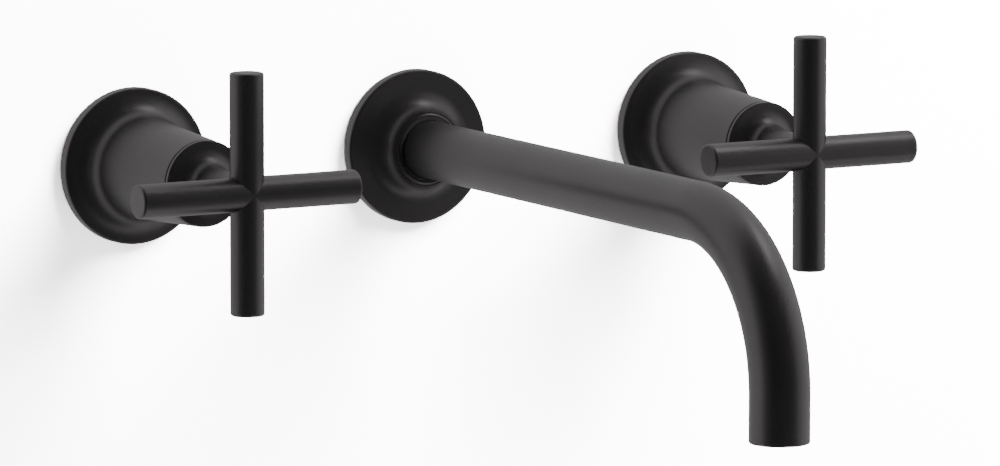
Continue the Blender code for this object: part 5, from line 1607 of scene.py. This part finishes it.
strip_low, strip_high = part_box("mounting_bracket")
near = strip_low.y + STRIP / 2
far = strip_high.y - STRIP / 2
toe = strip_high.x
steps = [(-toe, far), (-HEEL, far), (-KNEE, near), (KNEE, near), (HEEL, far), (toe, far)]
line = rounded_path(steps, BEND_ROUND)
outline = offset_path(line, STRIP / 2) + offset_path(line, -STRIP / 2)[::-1]
strip = flat_shape("fine_mounting_bracket", outline, strip_low.z, strip_high.z, upright=True)

# %% Holes, slots and corners


def slot_outline(radius, straight, steps=16):
    right = [(straight / 2 + x, z) for x, z in arc(0, 0, radius, -pi / 2, pi / 2, steps)]
    left = [(x - straight / 2, z) for x, z in arc(0, 0, radius, pi / 2, 3 * pi / 2, steps)]
    return right + left


def rounded_rectangle(half_x, half_z, radius):
    corners = []
    for k, (sx, sz) in enumerate(((1, 1), (-1, 1), (-1, -1), (1, -1))):
        centre = (sx * (half_x - radius), sz * (half_z - radius))
        quarter = arc(0, 0, radius, k * pi / 2, (k + 1) * pi / 2, 8)
        corners += [(centre[0] + x, centre[1] + z) for x, z in quarter]
    return corners


blank = flat_shape("blank", rounded_rectangle(toe, strip_high.z, FOOT_ROUND), -0.12, -0.05)
boolean(strip, blank, "INTERSECT")
round_edges(strip, 0.3 * MM, 50, 2)
for sign in SIDES.values():
    cut(strip, drill("hole", (sign * AXIS_X["cold"], 0, 0), OUT, 2.7 * MM, *THROUGH_STRIP))
    for level in (-7 * MM, 7 * MM):
        slot = slot_outline(2.5 * MM, 5 * MM)
        cut(strip, flat_shape("slot", slot, *THROUGH_STRIP, (sign * STUD_X, 0, level)))
finish_piece(strip, ZINC, FIXED, "zinc_plate", "mounting_bracket")
print("bracket:", len(strip.data.polygons), "faces;", len(finished), "pieces in all")

# %% [markdown]
# ## Room and light
#
# A dark satin object shows what stands round it, so the room matters more than the lamps. The
# wall is white, and the glancing reflections of the necks and the tube are of the wall. A real
# wall that bright would need lamps that wash out everything else. So the paint has three tones:
# one that lights its surroundings, a brighter one that the camera sees, and an even glow that
# reflections see. The wall is open from behind, so the plumbing can be looked at, and only its
# middle is seen, so that it hides nothing from the side. The floor is pale, and so is the world.
#
# The lamps are large and soft. The key lamp stands high on the right and gives the wall its soft
# shadows, and reflections leave it out. Thin lamps near the wall, above, below and on the right,
# draw the bright edges of the bars and the tube. Two more light the plumbing from behind.

# %% Wall and floor
WALL_TONE = 0.6
WALL_SEEN = 8.0
WALL_GLOW = 0.56
FLOOR_TONE = 0.5
FLOOR_SEEN = 3.0
FLOOR_GLOW = 0.08
SEEN_WALL_SIZE, SEEN_WALL_BACK = 1.2, 0.4 * MM
FAR_WALL_SIZE, FAR_WALL_BACK, FAR_WALL_UP = 9, 0.8 * MM, 1.5
FLOOR_SIZE, FLOOR_UP = 12, -0.9


def stage_plane(name, size, at, normal, material):
    bm = bmesh.new()
    bmesh.ops.create_grid(bm, x_segments=1, y_segments=1, size=size / 2)
    turn = Vector((0, 0, 1)).rotation_difference(normal).to_matrix().to_4x4()
    bmesh.ops.transform(bm, matrix=Matrix.Translation(at) @ turn, verts=bm.verts)
    mesh = bpy.data.meshes.new(name)
    bm.to_mesh(mesh)
    bm.free()
    mesh.materials.append(material)
    plane = bpy.data.objects.new(name, mesh)
    bpy.context.scene.collection.objects.link(plane)
    plane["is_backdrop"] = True
    return plane


def mix_shaders(tree, factor, first, second):
    node = tree.nodes.new("ShaderNodeMixShader")
    tree.links.new(factor, node.inputs[0])
    tree.links.new(first.outputs[0], node.inputs[1])
    tree.links.new(second.outputs[0], node.inputs[2])
    return node


def room_paint(name, tone, seen, glow):
    """Paint that the camera sees brighter, that reflections see as an even glow, open from behind."""
    material = bpy.data.materials.new(name)
    material.use_nodes = True
    tree = material.node_tree
    tree.nodes.clear()
    path = add(tree, "ShaderNodeLightPath")
    strength = math(tree, "MULTIPLY_ADD", path.outputs["Is Camera Ray"], seen - tone, tone)
    colour = add(tree, "ShaderNodeCombineColor", Red=strength, Green=strength, Blue=strength)
    paint = add(tree, "ShaderNodeBsdfDiffuse", Color=colour.outputs[0])
    even = add(tree, "ShaderNodeEmission", Strength=glow)
    clear = add(tree, "ShaderNodeBsdfTransparent")
    facing = add(tree, "ShaderNodeNewGeometry")
    end = tree.nodes.new("ShaderNodeOutputMaterial")
    front = mix_shaders(tree, path.outputs["Is Glossy Ray"], paint, even)
    both = mix_shaders(tree, facing.outputs["Backfacing"], front, clear)
    tree.links.new(both.outputs[0], end.inputs["Surface"])
    return material


wall_paint = room_paint("wall_paint", WALL_TONE, WALL_SEEN, WALL_GLOW)
stage_plane("room_wall", SEEN_WALL_SIZE, (0, SEEN_WALL_BACK, 0), OUT, wall_paint)
far_wall = stage_plane("far_wall", FAR_WALL_SIZE, (0, FAR_WALL_BACK, FAR_WALL_UP), OUT, wall_paint)
far_wall.visible_camera = False
floor_paint = room_paint("floor_paint", FLOOR_TONE, FLOOR_SEEN, FLOOR_GLOW)
stage_plane("room_floor", FLOOR_SIZE, (0, 0, FLOOR_UP), Vector((0, 0, 1)), floor_paint)

# %% Lights
LIT_POINT = Vector((0, -0.08, 0))
ROOM_GLOW, BACKDROP_TONE = 0.045, 3.0


def softbox(name, at, width, height, power, seen_in_gloss=True):
    data = bpy.data.lights.new(name, "AREA")
    data.shape = "RECTANGLE"
    data.size, data.size_y = width, height
    data.energy = power
    light = bpy.data.objects.new(name, data)
    bpy.context.scene.collection.objects.link(light)
    light.location = at
    light.rotation_euler = (LIT_POINT - Vector(at)).to_track_quat("-Z", "Y").to_euler()
    light.visible_glossy = seen_in_gloss
    return light


def room_glow(tone, backdrop):
    """An even weak light from all round, which the camera sees as a pale backdrop."""
    world = bpy.data.worlds.new("room_glow")
    world.use_nodes = True
    tree = world.node_tree
    path = add(tree, "ShaderNodeLightPath")
    strength = math(tree, "MULTIPLY_ADD", path.outputs["Is Camera Ray"], backdrop - tone, tone)
    tree.nodes["Background"].inputs["Color"].default_value = (1, 1, 1, 1)
    tree.links.new(strength, tree.nodes["Background"].inputs["Strength"])
    bpy.context.scene.world = world


softbox("key", (1.0, -0.95, 1.35), 1.3, 1.3, 120, seen_in_gloss=False)
softbox("top right", (0.95, -0.3, 1.1), 0.9, 0.6, 1.2)
softbox("top edge", (0.75, -0.13, 1.2), 0.9, 0.22, 1.3)
softbox("right", (1.1, -1.1, 0.1), 0.6, 1.6, 1.1)
softbox("right front", (1.35, -0.6, 0.1), 0.5, 1.6, 1.4)
softbox("right edge", (1.4, -0.17, 0.1), 0.3, 1.6, 0.8)
softbox("low right", (0.8, -0.3, -0.8), 0.8, 0.5, 0.8)
softbox("low edge", (0.3, -0.17, -0.8), 2.0, 0.3, 1.1)
softbox("back key", (-1.0, 1.4, 0.9), 1.2, 1.2, 26)
softbox("back fill", (1.3, 1.1, 0.4), 0.8, 1.4, 8)
softbox("left", (-1.4, -0.5, 0.1), 0.5, 1.6, 0.25)
room_glow(ROOM_GLOW, BACKDROP_TONE)

# %% [markdown]
# ## Size of the finished model
#
# The finished model's box is compared with the imported model's box, and how much it has grown
# is printed, to show that the fine pieces keep the design's size.

# %% Sizes and finish
fine_low, fine_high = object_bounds()
before, after = [*cad_low, *cad_high], [*fine_low, *fine_high]
print("grown by", [round(1000 * (b - a), 2) for a, b in zip(before, after)], "mm")
